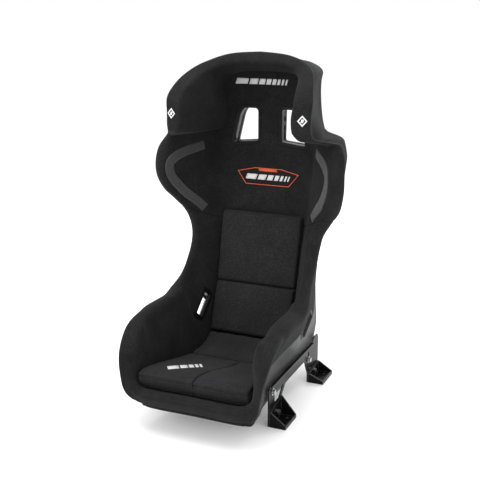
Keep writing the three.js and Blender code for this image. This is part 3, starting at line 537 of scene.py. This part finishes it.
def row(section, hem, radius):
    """A row's visible points and the hidden ones under them."""
    floor = section.hub_face + np.outer(FLOOR, section.fold - section.hub_face)
    face = np.vstack([floor, section.wall_in(WALL)])
    face = softened(face, FOLD_AT, radius)
    v_out = 1 - OUTSIDE * (1 - hem)
    outside = section.wall_out(v_out)
    seen = np.vstack([face, rim_arc(section), section.edge, outside[1:], outside[-1:]])
    hub = section.hub_shell + section.rise * PAD_DEPTH
    fold_back = section.in_wall([0.0], [PAD_DEPTH])[0]
    back = [hub + np.outer(FLOOR, fold_back - hub), section.in_wall(WALL, np.full(len(WALL), PAD_DEPTH))]
    turn = np.linspace(0, 1, len(RIM) + 2)[1:-1]
    depth = PAD_DEPTH + (SKIRT - PAD_DEPTH) * turn
    lift = np.sin(turn * math.pi) * 0.5 + GAP
    back.append(section.in_wall(np.ones(len(turn)), depth) + np.outer(lift, section.up))
    v_back = np.append(v_out, v_out[-1])
    back.append(section.in_wall(v_back, np.full(len(v_back), SKIRT)))
    return seen, np.vstack(back)


def spaced(table, start, end, seams=()):
    """Places from start to end about a row step apart, closer beside seams."""
    places = []
    for i in range(len(table) - 1):
        if i + 1 <= start or i >= end:
            continue
        longest = max(np.linalg.norm(np.subtract(table[i + 1][k], table[i][k])) for k in range(3))
        count = max(2, math.ceil(longest / ROW_STEP))
        places += [i + k / count for k in range(count)]
    places = [p for p in places if start + 1e-3 < p < end - 1e-3]
    for seam, tight in seams:
        places = [p for p in places if abs(p - seam) > tight * 1.2]
        places += [seam + tight * k for k in (-1.0, -0.55, -0.25, 0.0, 0.25, 0.55, 1.0)]
    places = sorted(p for p in places if start < p < end)
    return [start, *places, end]


def hem_at(place):
    return float(np.interp(place, range(len(HEM)), HEM))


def rows_of(table, places, hem, radius):
    made = [row(Section(table, p), hem(p), radius(p)) for p in places]
    return np.array([m[0] for m in made]), np.array([m[1] for m in made])


# ---------------- meshes
def placed(points):
    """Points of the seat's frame as metres of the shared frame."""
    return (np.asarray(points, float) + SHIFT) * MM


def put(name, points, faces, material, replaces=(), uv=None):
    """A mesh object from points in the seat's millimetres, riding on the seat."""
    mesh = bpy.data.meshes.new(name)
    mesh.from_pydata(placed(points).tolist(), [], [tuple(int(i) for i in f) for f in faces])
    mesh.validate()
    if uv is not None:
        layer = mesh.uv_layers.new(name="flat")
        corner = np.empty(len(mesh.loops), np.int32)
        mesh.loops.foreach_get("vertex_index", corner)
        layer.data.foreach_set("uv", (np.asarray(uv, float) * MM)[corner].astype(np.float32).ravel())
    tidy = bmesh.new()
    tidy.from_mesh(mesh)
    bmesh.ops.remove_doubles(tidy, verts=tidy.verts, dist=1e-6)
    bmesh.ops.recalc_face_normals(tidy, faces=tidy.faces)
    tidy.to_mesh(mesh)
    tidy.free()
    for face in mesh.polygons:
        face.use_smooth = True
    made = bpy.data.objects.new(name, mesh)
    SCENE.collection.objects.link(made)
    mesh.materials.append(material)
    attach(made, "seat")
    if replaces:
        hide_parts(*replaces)
    return made


def grid_solid(top, under, uv, join_first=False, join_last=False, join_hub=False):
    """A closed slab between two grids; the joined sides lie in the middle plane and stay open."""
    rows, columns = top.shape[:2]
    count = rows * columns
    at = np.arange(count).reshape(rows, columns)
    quads = []

    def quad(a, b, c, d):
        quads.append(np.stack([a, b, c, d], -1).reshape(-1, 4))

    quad(at[:-1, :-1], at[:-1, 1:], at[1:, 1:], at[1:, :-1])
    quad(at[:-1, :-1] + count, at[1:, :-1] + count, at[1:, 1:] + count, at[:-1, 1:] + count)
    edges = [(at[:-1, -1], at[1:, -1])]
    if not join_hub:
        edges.append((at[1:, 0], at[:-1, 0]))
    if not join_first:
        edges.append((at[0, :-1], at[0, 1:]))
    if not join_last:
        edges.append((at[-1, 1:], at[-1, :-1]))
    for a, b in edges:
        quad(a, b, b + count, a + count)
    points = np.vstack([top.reshape(-1, 3), under.reshape(-1, 3)])
    return points, np.vstack(quads), np.vstack([uv.reshape(-1, 2)] * 2)


def mirrored(points, faces, uv):
    return points * (-1, 1, 1), faces[:, ::-1], uv * (-1, 1)


def doubled(points, faces, uv):
    """Both halves of a piece across the middle plane, with their shared points made one."""
    points = points.copy()
    points[np.abs(points[:, 0]) < 0.02, 0] = 0
    other = mirrored(points, faces, uv)
    return np.vstack([points, other[0]]), np.vstack([faces, other[1] + len(points)]), np.vstack([uv, other[2]])


def flat_map(grid):
    """Arc lengths along both directions of a grid, in millimetres."""
    along = np.linalg.norm(np.diff(grid, axis=0), axis=2).mean(1)
    across = np.linalg.norm(np.diff(grid, axis=1), axis=2)
    v = np.concatenate([[0], np.cumsum(along)])
    u = np.concatenate([np.zeros((len(grid), 1)), np.cumsum(across, axis=1)], axis=1)
    return np.stack([u, np.broadcast_to(v[:, None], u.shape)], -1)


def dip_rows(top, under, at_row, depth, width):
    """Draws the rows beside a seam towards the hidden side."""
    crest = top[:, RIM_AT]
    s = np.concatenate([[0], np.cumsum(np.linalg.norm(np.diff(crest, axis=0), axis=1))])
    fall = depth * np.exp(-((s - s[at_row]) / width) ** 2)
    way = under - top
    length = np.maximum(np.linalg.norm(way, axis=2, keepdims=True), 1e-6)
    return top + way / length * np.minimum(fall[:, None, None], 0.45 * length)


def cut_with(target, cutters):
    """Cuts closed blank meshes out of a piece; a list of (points, faces) in the seat's millimetres."""
    for k, (points, faces) in enumerate(cutters):
        mesh = bpy.data.meshes.new("cutter")
        mesh.from_pydata(placed(points).tolist(), [], faces)
        tool = bpy.data.objects.new("cutter", mesh)
        SCENE.collection.objects.link(tool)
        cut = bmesh.new()
        cut.from_mesh(mesh)
        bmesh.ops.recalc_face_normals(cut, faces=cut.faces)
        cut.to_mesh(mesh)
        cut.free()
        step = target.modifiers.new(f"opening_{k}", "BOOLEAN")
        step.operation = "DIFFERENCE"
        step.solver = "EXACT"
        step.object = tool
        evaluated = target.evaluated_get(bpy.context.evaluated_depsgraph_get())
        done = bpy.data.meshes.new_from_object(evaluated)
        target.modifiers.clear()
        target.data = done
        bpy.data.objects.remove(tool)


def prism(outline, origin, across, up, depth):
    """A closed prism: outline in the plane of two directions, running along their normal."""
    across, up = unit(np.array(across, float)), unit(np.array(up, float))
    away = np.cross(across, up)
    flat = np.array([np.array(origin, float) + a * across + b * up for a, b in outline])
    count = len(outline)
    points = np.vstack([flat, flat + away * depth])
    faces = [tuple(range(count))[::-1], tuple(range(count, 2 * count))]
    faces += [(i, (i + 1) % count, count + (i + 1) % count, count + i) for i in range(count)]
    return points, faces


# ---------------- padded covers
# How softly the cover turns at the fold: places along the table, and radii there.
PAN_RADIUS = ([0, 1, 2, 4, 8, 12, 15, WAIST_SEAM], [3, 4, 8, 14, 16, 17, 20, 26])
BODY_RADIUS = ([WAIST_SEAM, 19, 21, 23], [26, 34, 36, 34])
HEAD_RADIUS = ([0, 1, 3, 5, 6, 7, 8], [32, 30, 28, 18, 11, 7, 6])
UPPER_HEM = 0.08
SEAM_STEP = 0.05                 # rows beside the front seam are this close, along BODY
WAIST_DIP = (2.2, 2.4)           # depth and half width of the dip beside each seam
FRONT_DIP = (1.5, 2.0)
WING_DIP = (1.2, 2.5)
LINER_TO = FOLD_AT - 3           # column where the liner meets the walls' covers
SHELF_ROWS = 14                  # rows under the wings, between the torso's last and the head's first
SHELF_BLEND = 5                  # rows on either side that are evened with them


def radius_along(table):
    return lambda place: float(np.interp(place, *table))


def part_of(grids, area, **joins):
    return grid_solid(*(grid[area] for grid in grids), **joins)


def cover(name, solid, replaces):
    points, faces, uv = solid
    piece = put(name, points, faces, COVER, uv=uv, replaces=replaces)
    return piece


def smooth_rows(grid, first, last, times):
    """Evens the rows between first and last, so that they run into each other softly."""
    grid = grid.copy()
    for _ in range(times):
        around = grid[first - 1:last - 1] + grid[first + 1:last + 1]
        grid[first:last] = grid[first:last] * 0.5 + around * 0.25
    return grid


pan_places = spaced(BODY, 0, WAIST_SEAM, [(FRONT_SEAM, SEAM_STEP)])
pan_top, pan_under = rows_of(BODY, pan_places, hem_at, radius_along(PAN_RADIUS))
front_row = pan_places.index(FRONT_SEAM)
pan_top = dip_rows(pan_top, pan_under, len(pan_places) - 1, *WAIST_DIP)
pan_top = dip_rows(pan_top, pan_under, front_row, *FRONT_DIP)
pan = (pan_top, pan_under, flat_map(pan_top))

walls = part_of(pan, np.s_[front_row:, LINER_TO:])
side_covers = {side: cover(f"side_cover_{side}", walls if sign > 0 else mirrored(*walls), [f"side_bolster_{side}"]) for side, sign in SIDES}
liner = part_of(pan, np.s_[:, :LINER_TO + 1], join_first=True, join_hub=True)
liner_cover = cover("pan_liner_cover", doubled(*liner), ["pan_liner"])
roll = part_of(pan, np.s_[:front_row + 1, LINER_TO:], join_first=True)
cover("front_roll_cover", doubled(*roll), ["pan_front_roll"])

# The torso cover runs from the waist over the shoulders, and on to the underside of the wings.
body_places = spaced(BODY, WAIST_SEAM, len(BODY) - 1)
body_rows = rows_of(BODY, body_places, lambda p: UPPER_HEM, radius_along(BODY_RADIUS))
head_rows = rows_of(HEAD, spaced(HEAD, 0, len(HEAD) - 1), lambda p: UPPER_HEM, radius_along(HEAD_RADIUS))
shelf = np.linspace(0, 1, SHELF_ROWS + 2)[1:-1]
ease = (shelf * 0.6 + (3 * shelf ** 2 - 2 * shelf ** 3) * 0.4)[:, None, None]
upper_top, upper_under = (np.concatenate([b, b[-1] * (1 - ease) + h[0] * ease, h])
                          for b, h in zip(body_rows, head_rows))
upper_uv = flat_map(upper_top)
shelf_rows = (len(body_places) - SHELF_BLEND, len(body_places) + SHELF_ROWS + SHELF_BLEND)
upper_top, upper_under = (smooth_rows(grid, *shelf_rows, 4) for grid in (upper_top, upper_under))
wing_seam = len(body_places) + SHELF_ROWS // 2
upper_top = dip_rows(upper_top, upper_under, 0, *WAIST_DIP)
upper_top = dip_rows(upper_top, upper_under, wing_seam, *WING_DIP)
upper = (upper_top, upper_under, upper_uv)

torso = part_of(upper, np.s_[:wing_seam + 1], join_hub=True)
torso_cover = cover("torso_cover", doubled(*torso), ["shoulder_pad_left", "shoulder_pad_right", "back_panel_pad"])
head = part_of(upper, np.s_[wing_seam:], join_hub=True, join_last=True)
head_cover = cover("head_cover", doubled(*head), [
    "head_wing_pad_left", "head_wing_pad_right", "head_top_roll", "head_centre_pad"])


# ---------------- pieces laid on a surface
SINK = 0.8                       # how far thin pieces go under the surface they lie on
THROW_BACK = 70.0                # where a drawing plane's rays start, before the plane


def surface_of(*pieces):
    """A search tree over the finished faces of some pieces, in metres."""
    graph = bpy.context.evaluated_depsgraph_get()
    points, faces = [], []
    for piece in pieces:
        mesh = piece.evaluated_get(graph).to_mesh()
        first = len(points)
        points += [tuple(v.co) for v in mesh.vertices]
        faces += [tuple(first + i for i in f.vertices) for f in mesh.polygons]
    return BVHTree.FromPolygons(points, faces)


def metres(point):
    return Vector(placed(point).tolist())


def millimetres(vector):
    return np.array(vector) / MM - SHIFT


def hit(surface, start, look):
    """Where a ray first meets the surface, in millimetres, and the normal that faces the ray."""
    way = Vector(unit(np.asarray(look, float)).tolist())
    place, normal, _, _ = surface.ray_cast(metres(start), way)
    if place is None:
        place, normal, _, _ = surface.find_nearest(metres(np.asarray(start) + np.asarray(look, float) * 60))
    if normal.dot(way) > 0:
        normal = -normal
    return millimetres(place), np.array(normal)


class Plane:
    """A flat drawing plane that is thrown onto a surface along its normal."""

    def __init__(self, origin, across, up, surface):
        self.origin = np.array(origin, float)
        self.across = unit(np.array(across, float))
        up = np.array(up, float)
        self.up = unit(up - self.across * up.dot(self.across))
        self.look = np.cross(self.up, self.across)
        self.surface = surface

    def point(self, a, b):
        start = self.origin + self.across * a + self.up * b - self.look * THROW_BACK
        return hit(self.surface, start, self.look)


def laid(name, plane, grids, lift, material, replaces=()):
    """Thin patches on a surface: grids of plane places, raised by the lift, sunk a little underneath."""
    solids, count = [], 0
    for grid in grids:
        grid = np.asarray(grid, float)
        top, under = np.empty((*grid.shape[:2], 3)), np.empty((*grid.shape[:2], 3))
        for i, j in np.ndindex(grid.shape[:2]):
            place, normal = plane.point(*grid[i, j])
            top[i, j] = place + normal * lift
            under[i, j] = place - normal * SINK
        points, faces, uv = grid_solid(top, under, grid)
        solids.append((points, faces + count, uv))
        count += len(points)
    points, faces, uv = (np.vstack(parts) for parts in zip(*solids))
    put(name, points, faces, material, replaces=replaces, uv=uv)


def stroke(path, width, step=4.0):
    """A grid along a closed path of plane places, with mitred corners."""
    path = np.array([*path, path[0]], float)
    steps = np.diff(path, axis=0)
    normals = [unit(np.array([-y, x])) for x, y in steps]
    sides = []
    for one, two in zip([normals[-1], *normals], [*normals, normals[0]]):
        side = unit(one + two)
        sides.append(side / max(0.35, side.dot(one)))
    grid = []
    for i, run in enumerate(steps):
        parts = max(1, int(np.linalg.norm(run) / step))
        for t in np.arange(parts + (i == len(steps) - 1)) / parts:
            middle = path[i] * (1 - t) + path[i + 1] * t
            side = sides[i] * (1 - t) + sides[i + 1] * t
            grid.append([middle + side * width * w for w in (-0.5, 0.0, 0.5)])
    return grid


def slanted(a, b, wide, high, lean):
    """A slanted bar: its lower left corner, size and lean."""
    return [[(a + wide * i / 3 + lean * j / 4, b + high * j / 4) for i in range(4)] for j in range(5)]


def bars(places, b, high, lean):
    """A row of slanted bars, from the left end and the width of each."""
    return [slanted(a, b, wide, high, lean) for a, wide in places]


# ---------------- carbon shell
SHELL_FLOOR = np.linspace(0, 1, 14)
SHELL_WALL = np.linspace(0, 1, 33)[1:]
SHELL_RADIUS = 9.0


def shell_row(section):
    """A row's outer and inner face from the middle line to the rim."""
    made = []
    for depth in (SKIRT + GAP + SHELL, SKIRT + GAP):
        hub = section.hub_shell + section.rise * depth
        foot = section.in_wall([0.0], [depth])[0]
        floor = hub + np.outer(SHELL_FLOOR, foot - hub)
        path = np.vstack([floor, section.in_wall(SHELL_WALL, np.full(len(SHELL_WALL), depth))])
        made.append(softened(path, len(SHELL_FLOOR) - 1, SHELL_RADIUS))
    return made


shell_rows = [shell_row(Section(BODY, p)) for p in spaced(BODY, 0, len(BODY) - 1)]
shell_rows += [shell_row(Section(HEAD, p)) for p in spaced(HEAD, 0, len(HEAD) - 1)]
shell_inner = np.array([r[0] for r in shell_rows])
shell_outer = np.array([r[1] for r in shell_rows])
shell_solid = doubled(*grid_solid(shell_inner, shell_outer, flat_map(shell_outer), join_first=True,
                                  join_last=True, join_hub=True))
carbon = put("carbon_skin", shell_solid[0], shell_solid[1], CARBON, uv=shell_solid[2],
             replaces=["carbon_shell"])

# ---------------- belt openings
SHOULDER_SLOT = [(34, 688), (112, 680), (92, 764), (80, 784), (40, 784), (34, 776)]
SLOT_RADIUS = 9
LAP_LENGTH = 84.0
LAP_WIDTH = 26.0
LAP_CENTRE = np.array([157.0, 46.0, 213.0])
LAP_AXIS = np.array([0.5, 0.68, -0.53]) / np.linalg.norm([0.5, 0.68, -0.53])
LAP_TILT = math.radians(40)
LAP_REACH = 95                   # how far the cutter runs either way along the axis
CROTCH = (64.0, 26.0)            # width and length of the crotch belt opening
CROTCH_Y = -128.0
LIP_JUMP = 30.0                  # a lip that would land further off than this keeps level with its base


def rounded(outline, radius, steps=5):
    """The outline with each corner rounded."""
    made = []
    count = len(outline)
    for i in range(count):
        before, corner, after = (np.array(outline[(i + k) % count], float) for k in (-1, 0, 1))
        a, b = before - corner, after - corner
        reach = min(radius, 0.45 * np.linalg.norm(a), 0.45 * np.linalg.norm(b))
        p, q = corner + unit(a) * reach, corner + unit(b) * reach
        for t in np.linspace(0, 1, steps):
            made.append((1 - t) ** 2 * p + 2 * t * (1 - t) * corner + t * t * q)
    return [tuple(p) for p in made]


def flipped(outline):
    return [(-a, b) for a, b in outline][::-1]


def box_outline(length, width):
    a, b = length / 2, width / 2
    return [(-a, -b), (a, -b), (a, b), (-a, b)]


shoulder_shape = rounded(SHOULDER_SLOT, SLOT_RADIUS)
shoulder_cutters = [prism(shape, (0, 280, 0), (1, 0, 0), (0, 0, 1), 160)
                    for shape in (shoulder_shape, flipped(shoulder_shape))]
lap_long = np.array([0, math.cos(LAP_TILT), math.sin(LAP_TILT)])
lap_long = unit(lap_long - LAP_AXIS * LAP_AXIS.dot(lap_long))
lap_wide = np.cross(LAP_AXIS, lap_long)
lap_shape = rounded(box_outline(LAP_LENGTH, LAP_WIDTH), SLOT_RADIUS)
lap_cutter = prism(lap_shape, LAP_CENTRE - LAP_AXIS * LAP_REACH, lap_long, lap_wide, 2 * LAP_REACH)
lap_cutters = {"left": lap_cutter, "right": (np.array(lap_cutter[0]) * (-1, 1, 1), lap_cutter[1])}
crotch_shape = rounded(box_outline(*CROTCH), 6)
crotch_cutter = prism(crotch_shape, (0, CROTCH_Y, 20), (1, 0, 0), (0, 1, 0), 120)
# Frames follow the pieces as they were before their openings were cut.
upper_surface = surface_of(torso_cover, head_cover)
shell_surface = surface_of(carbon)
side_surfaces = {side: surface_of(piece) for side, piece in side_covers.items()}
liner_surface = surface_of(liner_cover)
for piece in (torso_cover, head_cover):
    cut_with(piece, shoulder_cutters)
for side, piece in side_covers.items():
    cut_with(piece, [lap_cutters[side]])
cut_with(carbon, [*shoulder_cutters, *lap_cutters.values(), crotch_cutter])
cut_with(liner_cover, [crotch_cutter])


def bezel(name, replaces, outline, origin, across, up, look, surface, back, depth=30.0, reach=6.0, wall=2.0):
    """A moulded frame round an opening: a lip on the surface, a second ridge, and a sleeve going in."""
    across, up, look = (unit(np.array(v, float)) for v in (across, up, look))
    outline = np.array(outline, float)
    middle = outline.mean(0)
    # grown outward, lifted off the surface
    profile = [(0.4, -depth), (0.4, -1.0), (reach, -1.0), (reach + 0.6, 0.6), (reach - 0.6, 1.7),
               (reach - 2.2, 2.1), (reach - 3.0, 1.4), (reach - 3.7, 1.9), (reach - 4.6, 2.7), (0.2, 2.9),
               (0.6 - wall, 2.3), (-wall, 1.0), (-wall - 0.3, -3.0), (-wall - 0.3, -depth)]

    def ground(place):
        return hit(surface, np.array(origin) + across * place[0] + up * place[1] - look * back, look)[0]

    points = []
    for k, place in enumerate(outline):
        run = outline[(k + 1) % len(outline)] - outline[k - 1]
        away = unit(np.array([run[1], -run[0]]))
        if away.dot(place - middle) < 0:
            away = -away
        base = ground(place)
        for grow, lift in profile:
            spot = base + across * away[0] * grow + up * away[1] * grow
            if grow > 0.5:
                landed = ground(place + away * grow)
                if np.linalg.norm(landed - base) < LIP_JUMP:
                    spot = landed
            points.append(spot - look * lift)
    at = np.arange(len(points)).reshape(len(outline), len(profile))
    beside = np.roll(at, -1, 0)
    faces = np.stack([at, beside, np.roll(beside, -1, 1), np.roll(at, -1, 1)], -1).reshape(-1, 4)
    put(name, points, faces, PLASTIC, replaces=replaces)


frame_shape = rounded(SHOULDER_SLOT, SLOT_RADIUS, 7)
for side, sign in SIDES:
    shape = frame_shape if sign > 0 else flipped(frame_shape)
    for end, way, surface, back, depth in (("front", 1, upper_surface, 0.0, 30),
                                           ("rear", -1, shell_surface, 320.0, 22)):
        bezel(f"shoulder_frame_{end}_{side}", [f"shoulder_slot_bezel_{end}_{side}"], shape, (0, 0, 0), (1, 0, 0),
              (0, 0, 1), (0, way, 0), surface, back, depth)
    centre, long_way, wide_way, axis = (v * (sign, 1, 1) for v in (LAP_CENTRE, lap_long, lap_wide, LAP_AXIS))
    for end, way, surface, back in (("inner", 1, side_surfaces[side], 110.0), ("outer", -1, shell_surface, 150.0)):
        bezel(f"lap_frame_{end}_{side}", [f"lap_slot_bezel_{end}_{side}"], lap_shape, centre, long_way, wide_way,
              axis * way, surface, back, wall=7.0)
bezel("crotch_frame", ["crotch_slot_bezel"], crotch_shape, (0, CROTCH_Y, 0), (1, 0, 0), (0, 1, 0), (0, 0, -1),
      liner_surface, 160.0, reach=5.0)


# ---------------- cushions
PUCKER_REACH = 14.0              # how far puckers run in from the seams
# share of the side's height | how far it swells out there, with a seam at 0.13 and at 0.87
SIDE_SWELL = [(0.06, -0.3), (0.13, -1.7), (0.2, 0.5), (0.35, 1.5), (0.5, 1.9), (0.65, 1.5), (0.8, 0.5),
              (0.87, -1.5), (0.94, -0.2)]


def edge_steps(length, radius):
    """Distances along a side, close together over the rounded ends."""
    turn = radius * (1 - np.cos(np.linspace(0, math.pi / 2, 6)))
    middle = np.linspace(radius, length - radius, 26)[1:-1]
    return np.concatenate([turn, middle, length - turn[::-1]])


def at_station(stations, t):
    place = min(max(t, 0.0), 1.0) * (len(stations) - 1)
    i = min(int(place), len(stations) - 2)
    return centripetal(np.array([(s[0], *s[1], *s[2]) for s in stations], float), i, place - i)


def cushion(name, replaces, stations, left, right, radius, crown, seed, wrinkle):
    """A boxed cushion: crowned face, softened edges, sides that swell between two seams."""
    random = np.random.default_rng(seed)
    table = [at_station(stations, t) for t in np.linspace(0, 1, 41)]
    length = sum(np.linalg.norm(b[1:3] - a[1:3]) for a, b in zip(table, table[1:]))
    width = max(left(s) - right(s) for s in table)
    us, vs = edge_steps(length, radius), edge_steps(width, radius)
    waves = [(random.uniform(9, 26), random.uniform(0, 6.28), random.uniform(0.4, 1.0)) for _ in range(4)]

    def puckers(run, off):
        total = sum(a * math.sin(2 * math.pi * run / p + q) for p, q, a in waves)
        return wrinkle * total * math.exp(-(off / PUCKER_REACH) ** 2)

    def grid_point(u, v, front):
        r = radius if front else radius * 0.5
        du = max(0.0, r - min(u, length - u))
        dv = max(0.0, r - min(v, width - v))
        reach = math.hypot(du, dv)
        if reach > r:
            cut_back = (reach - r) * 0.7
            u += np.sign(length / 2 - u) * cut_back * du / reach
            v += np.sign(width / 2 - v) * cut_back * dv / reach
            reach = r
        drop = r - math.sqrt(max(0.0, r * r - reach * reach))
        s = at_station(stations, u / length)
        x = right(s) + (left(s) - right(s)) * v / width
        face, back = s[1:3], s[3:5]
        thick = np.linalg.norm(back - face)
        way = (back - face) / thick
        depth = min(drop, thick) if front else thick - drop
        if front:
            a, b = 2 * u / length - 1, 2 * v / width - 1
            off = min(u, length - u, v, width - v)
            dome = crown * (1 - abs(a) ** 3) * (1 - abs(b) ** 3)
            depth -= dome + puckers(u if off in (v, width - v) else v, off)
        return (x, *(face + way * depth))

    front, rear = (np.array([[grid_point(u, v, face) for v in vs] for u in us]) for face in (True, False))
    at = np.arange(front.size // 3).reshape(front.shape[:2])
    loop = np.array([*at[0, :-1], *at[:-1, -1], *at[-1, :0:-1], *at[:0:-1, 0]])
    high, low = front.reshape(-1, 3), rear.reshape(-1, 3)
    middle = (high.mean(0) + low.mean(0)) / 2
    along = high[np.roll(loop, -1)] - high[np.roll(loop, 1)]
    sides = []
    for level, grow in SIDE_SWELL:
        for index, run in zip(loop, along):
            top, under = high[index], low[index]
            spot = top * (1 - level) + under * level
            out = unit(np.cross(run, under - top))
            sides.append(spot + out * (grow if out.dot(spot - middle) >= 0 else -grow))
    face = np.stack([at[:-1, :-1], at[:-1, 1:], at[1:, 1:], at[1:, :-1]], -1).reshape(-1, 4)
    faces = [*np.stack([face, face[:, [0, 3, 2, 1]] + at.size], 1).reshape(-1, 4)]
    bands = [loop, *(2 * at.size + np.arange(len(sides)).reshape(-1, len(loop))), loop + at.size]
    for one, two in zip(bands, bands[1:]):
        faces += zip(one, two, np.roll(two, -1), np.roll(one, -1))
    flat = np.stack(np.meshgrid(vs, us), -1).reshape(-1, 2)
    side_map = [(12 * k, 40 * level) for level, _ in SIDE_SWELL for k in range(len(loop))]
    piece = put(name, np.vstack([high, low, sides]), faces, CUSHION, replaces=replaces,
                uv=np.vstack([flat, flat, side_map]))
    return piece


# half width | face y, z | back y, z
THIGH = [(154, (-333, 156), (-322, 115)), (153, (-312, 160), (-305, 115)), (148, (-262, 154), (-262, 112)),
         (139, (-210, 145), (-210, 104)), (127, (-150, 135), (-150, 96)), (121, (-98, 127), (-100, 90))]
SEAT = [(120, (-92, 129), (-94, 90)), (118.5, (-45, 128), (-45, 88)), (117.5, (-4, 137), (2, 98)),
        (117, (26, 153), (34, 122))]
LOWER_BACK = [(117.5, (27, 155), (56, 147)), (118, (44, 205), (76, 200)), (119, (62, 250), (92, 245)),
              (119.5, (80, 289), (105, 284))]
LUMBAR = [(120, (82, 293), (106, 288)), (120.5, (96, 350), (121, 345)), (121.5, (112, 420), (138, 415)),
          (121.5, (130, 490), (153, 485))]


def split_x(s):
    """The split between the thigh cushions: straight back, then curving to the left."""
    t = min(1.0, max(0.0, (s[1] + 260) / 130))
    return 2 + 30 * (3 * t * t - 2 * t ** 3)


def left_edge(s):
    return s[0]


def right_edge(s):
    return -s[0]


SPLIT_GAP = 0.8                  # from the split's middle to each thigh cushion
# corner radius, crown, seed and wrinkle come last
cushion("base_pad", ["seat_base_cushion"], SEAT, left_edge, right_edge, 9, 5.0, 3, 0.9)
cushion("lower_back_pad", ["lower_back_cushion"], LOWER_BACK, left_edge, right_edge, 7, 3.0, 4, 0.5)
cushion("lumbar_pad", ["lumbar_cushion"], LUMBAR, left_edge, right_edge, 7, 3.0, 5, 0.5)
cushion("thigh_pad_left", ["thigh_cushion_left"], THIGH, left_edge, lambda s: split_x(s) + SPLIT_GAP,
        5, 3.0, 6, 0.5)
thigh_pad = cushion("thigh_pad_right", ["thigh_cushion_right"], THIGH, lambda s: split_x(s) - SPLIT_GAP,
                    right_edge, 5, 3.0, 7, 0.5)

# ---------------- grip strips
GRIP_WIDTH = 26.0
GRIP_LIFT = 1.9
GRIP_EDGE_LIFT = 1.2
# place along BODY, share of the way up the wall
GRIP_PATH = [(22.2, 0.5), (21.9, 0.74), (21.2, 0.94), (20.3, 0.97), (19.4, 0.9), (18.6, 0.8), (17.75, 0.62)]


def grip_strip(side, sign):
    """A strip that follows its path on the shoulder's cover."""
    path = np.array(GRIP_PATH)
    middles = []
    for t in np.linspace(0, len(path) - 1, 61):
        i = min(int(t), len(path) - 2)
        place, v = centripetal(path, i, t - i)
        spot = Section(BODY, place).wall_in([v])[0] * (sign, 1, 1)
        near, normal, _, _ = upper_surface.find_nearest(metres(spot))
        middles.append((millimetres(near), np.array(normal)))
    top, under, maps = [], [], []
    run = 0.0
    for k, (spot, normal) in enumerate(middles):
        ahead = middles[min(k + 1, len(middles) - 1)][0] - middles[max(k - 1, 0)][0]
        if k:
            run += np.linalg.norm(spot - middles[k - 1][0])
        across = unit(np.cross(normal, ahead)) * GRIP_WIDTH
        line = []
        for c in np.linspace(-0.5, 0.5, 7):
            near, face, _, _ = upper_surface.find_nearest(metres(spot + across * c))
            line.append((millimetres(near), np.array(face), c))
        top.append([p + n * (GRIP_LIFT if abs(c) < 0.45 else GRIP_EDGE_LIFT) for p, n, c in line])
        under.append([p - n * SINK for p, n, _ in line])
        maps.append([(GRIP_WIDTH * c, run) for _, _, c in line])
    points, faces, uv = grid_solid(np.array(top), np.array(under), np.array(maps))
    put(f"grip_band_{side}", points, faces, GRIP, replaces=[f"grip_strip_{side}"], uv=uv)


for side, sign in SIDES:
    grip_strip(side, sign)

# ---------------- badge and embroidery
# All marks are generic: plain slanted bars and a diamond. Bars are given by left end and width.
BADGE = [(-66, -24), (66, -24), (93, 11), (40, 23), (-40, 23), (-93, 11)]
BADGE_BARS = [(-68, 32), (-31, 24), (-2, 17), (20, 12), (37, 8), (50, 5.5), (60, 4)]
HEAD_BARS = [(-80, 34), (-41, 25), (-12, 18), (10, 14), (28, 11), (43, 8), (56, 6), (67, 5)]
THIGH_BARS = [(-52, 32), (-16, 21), (9, 14), (27, 9), (40, 7)]
DIAMOND = [(0, -12), (11, 0), (0, 12), (-11, 0)]
BADGE_LIFT = 1.9
TRIM_LIFT = 2.5                  # the badge's outline and bars, over the plate
STITCH_LIFT = 0.5

badge_plane = Plane((0, 175, 589), (1, 0, 0), (0, 0.16, 0.987), upper_surface)
halves, heights = zip(*BADGE[1:4])
badge_rows = []
for b in np.linspace(heights[0], heights[-1], 14):
    half = np.interp(b, heights, halves)
    badge_rows.append([(half * k, b) for k in np.linspace(-1, 1, 25)])
laid("badge_plate", badge_plane, [badge_rows], BADGE_LIFT, RUBBER, replaces=["back_badge"])
laid("badge_outline", badge_plane, [stroke(BADGE, 2.0), slanted(-27, 14.5, 56, 8, -3)], TRIM_LIFT, RED_TRIM)
laid("badge_bars", badge_plane, bars(BADGE_BARS, -10, 15, 5), TRIM_LIFT, WHITE_THREAD)
head_plane = Plane((-22, 185, 858), (1, 0, 0), (0, 0, 1), upper_surface)
laid("head_stripes", head_plane, bars(HEAD_BARS, -8, 16, 5), STITCH_LIFT, WHITE_THREAD)
for side, sign in SIDES:
    wing = Plane((sign * 181, -47, 790), (1, sign * 0.36, 0), (0, 0, 1), upper_surface)
    laid(f"wing_diamond_{side}", wing, [stroke(DIAMOND, 3.4, 2.0), slanted(-5.0, -4.5, 7, 9, 3)], STITCH_LIFT,
         WHITE_THREAD)
thigh_plane = Plane((-64, -243, 150), (0.64, 0.77, 0), (-0.77, 0.64, 0), surface_of(thigh_pad))
laid("thigh_stripes", thigh_plane, bars(THIGH_BARS, -13, 26, 7), STITCH_LIFT, WHITE_THREAD)

# ---------------- CAD nodes that stay: brackets, feet, fixings
FIXINGS = ("bolt", "nut", "washer", "spacer", "insert")
for name, node in NODES.items():
    if node.hide_render:
        continue
    fixing = any(word in name for word in FIXINGS)
    node.data.materials.clear()
    node.data.materials.append(STEEL if fixing else BRACKET)
    edge = node.modifiers.new("soft_edges", "BEVEL")
    edge.width = 0.0004 if fixing else 0.0009
    edge.segments = 2
    edge.limit_method = "ANGLE"
    edge.angle_limit = math.radians(35)
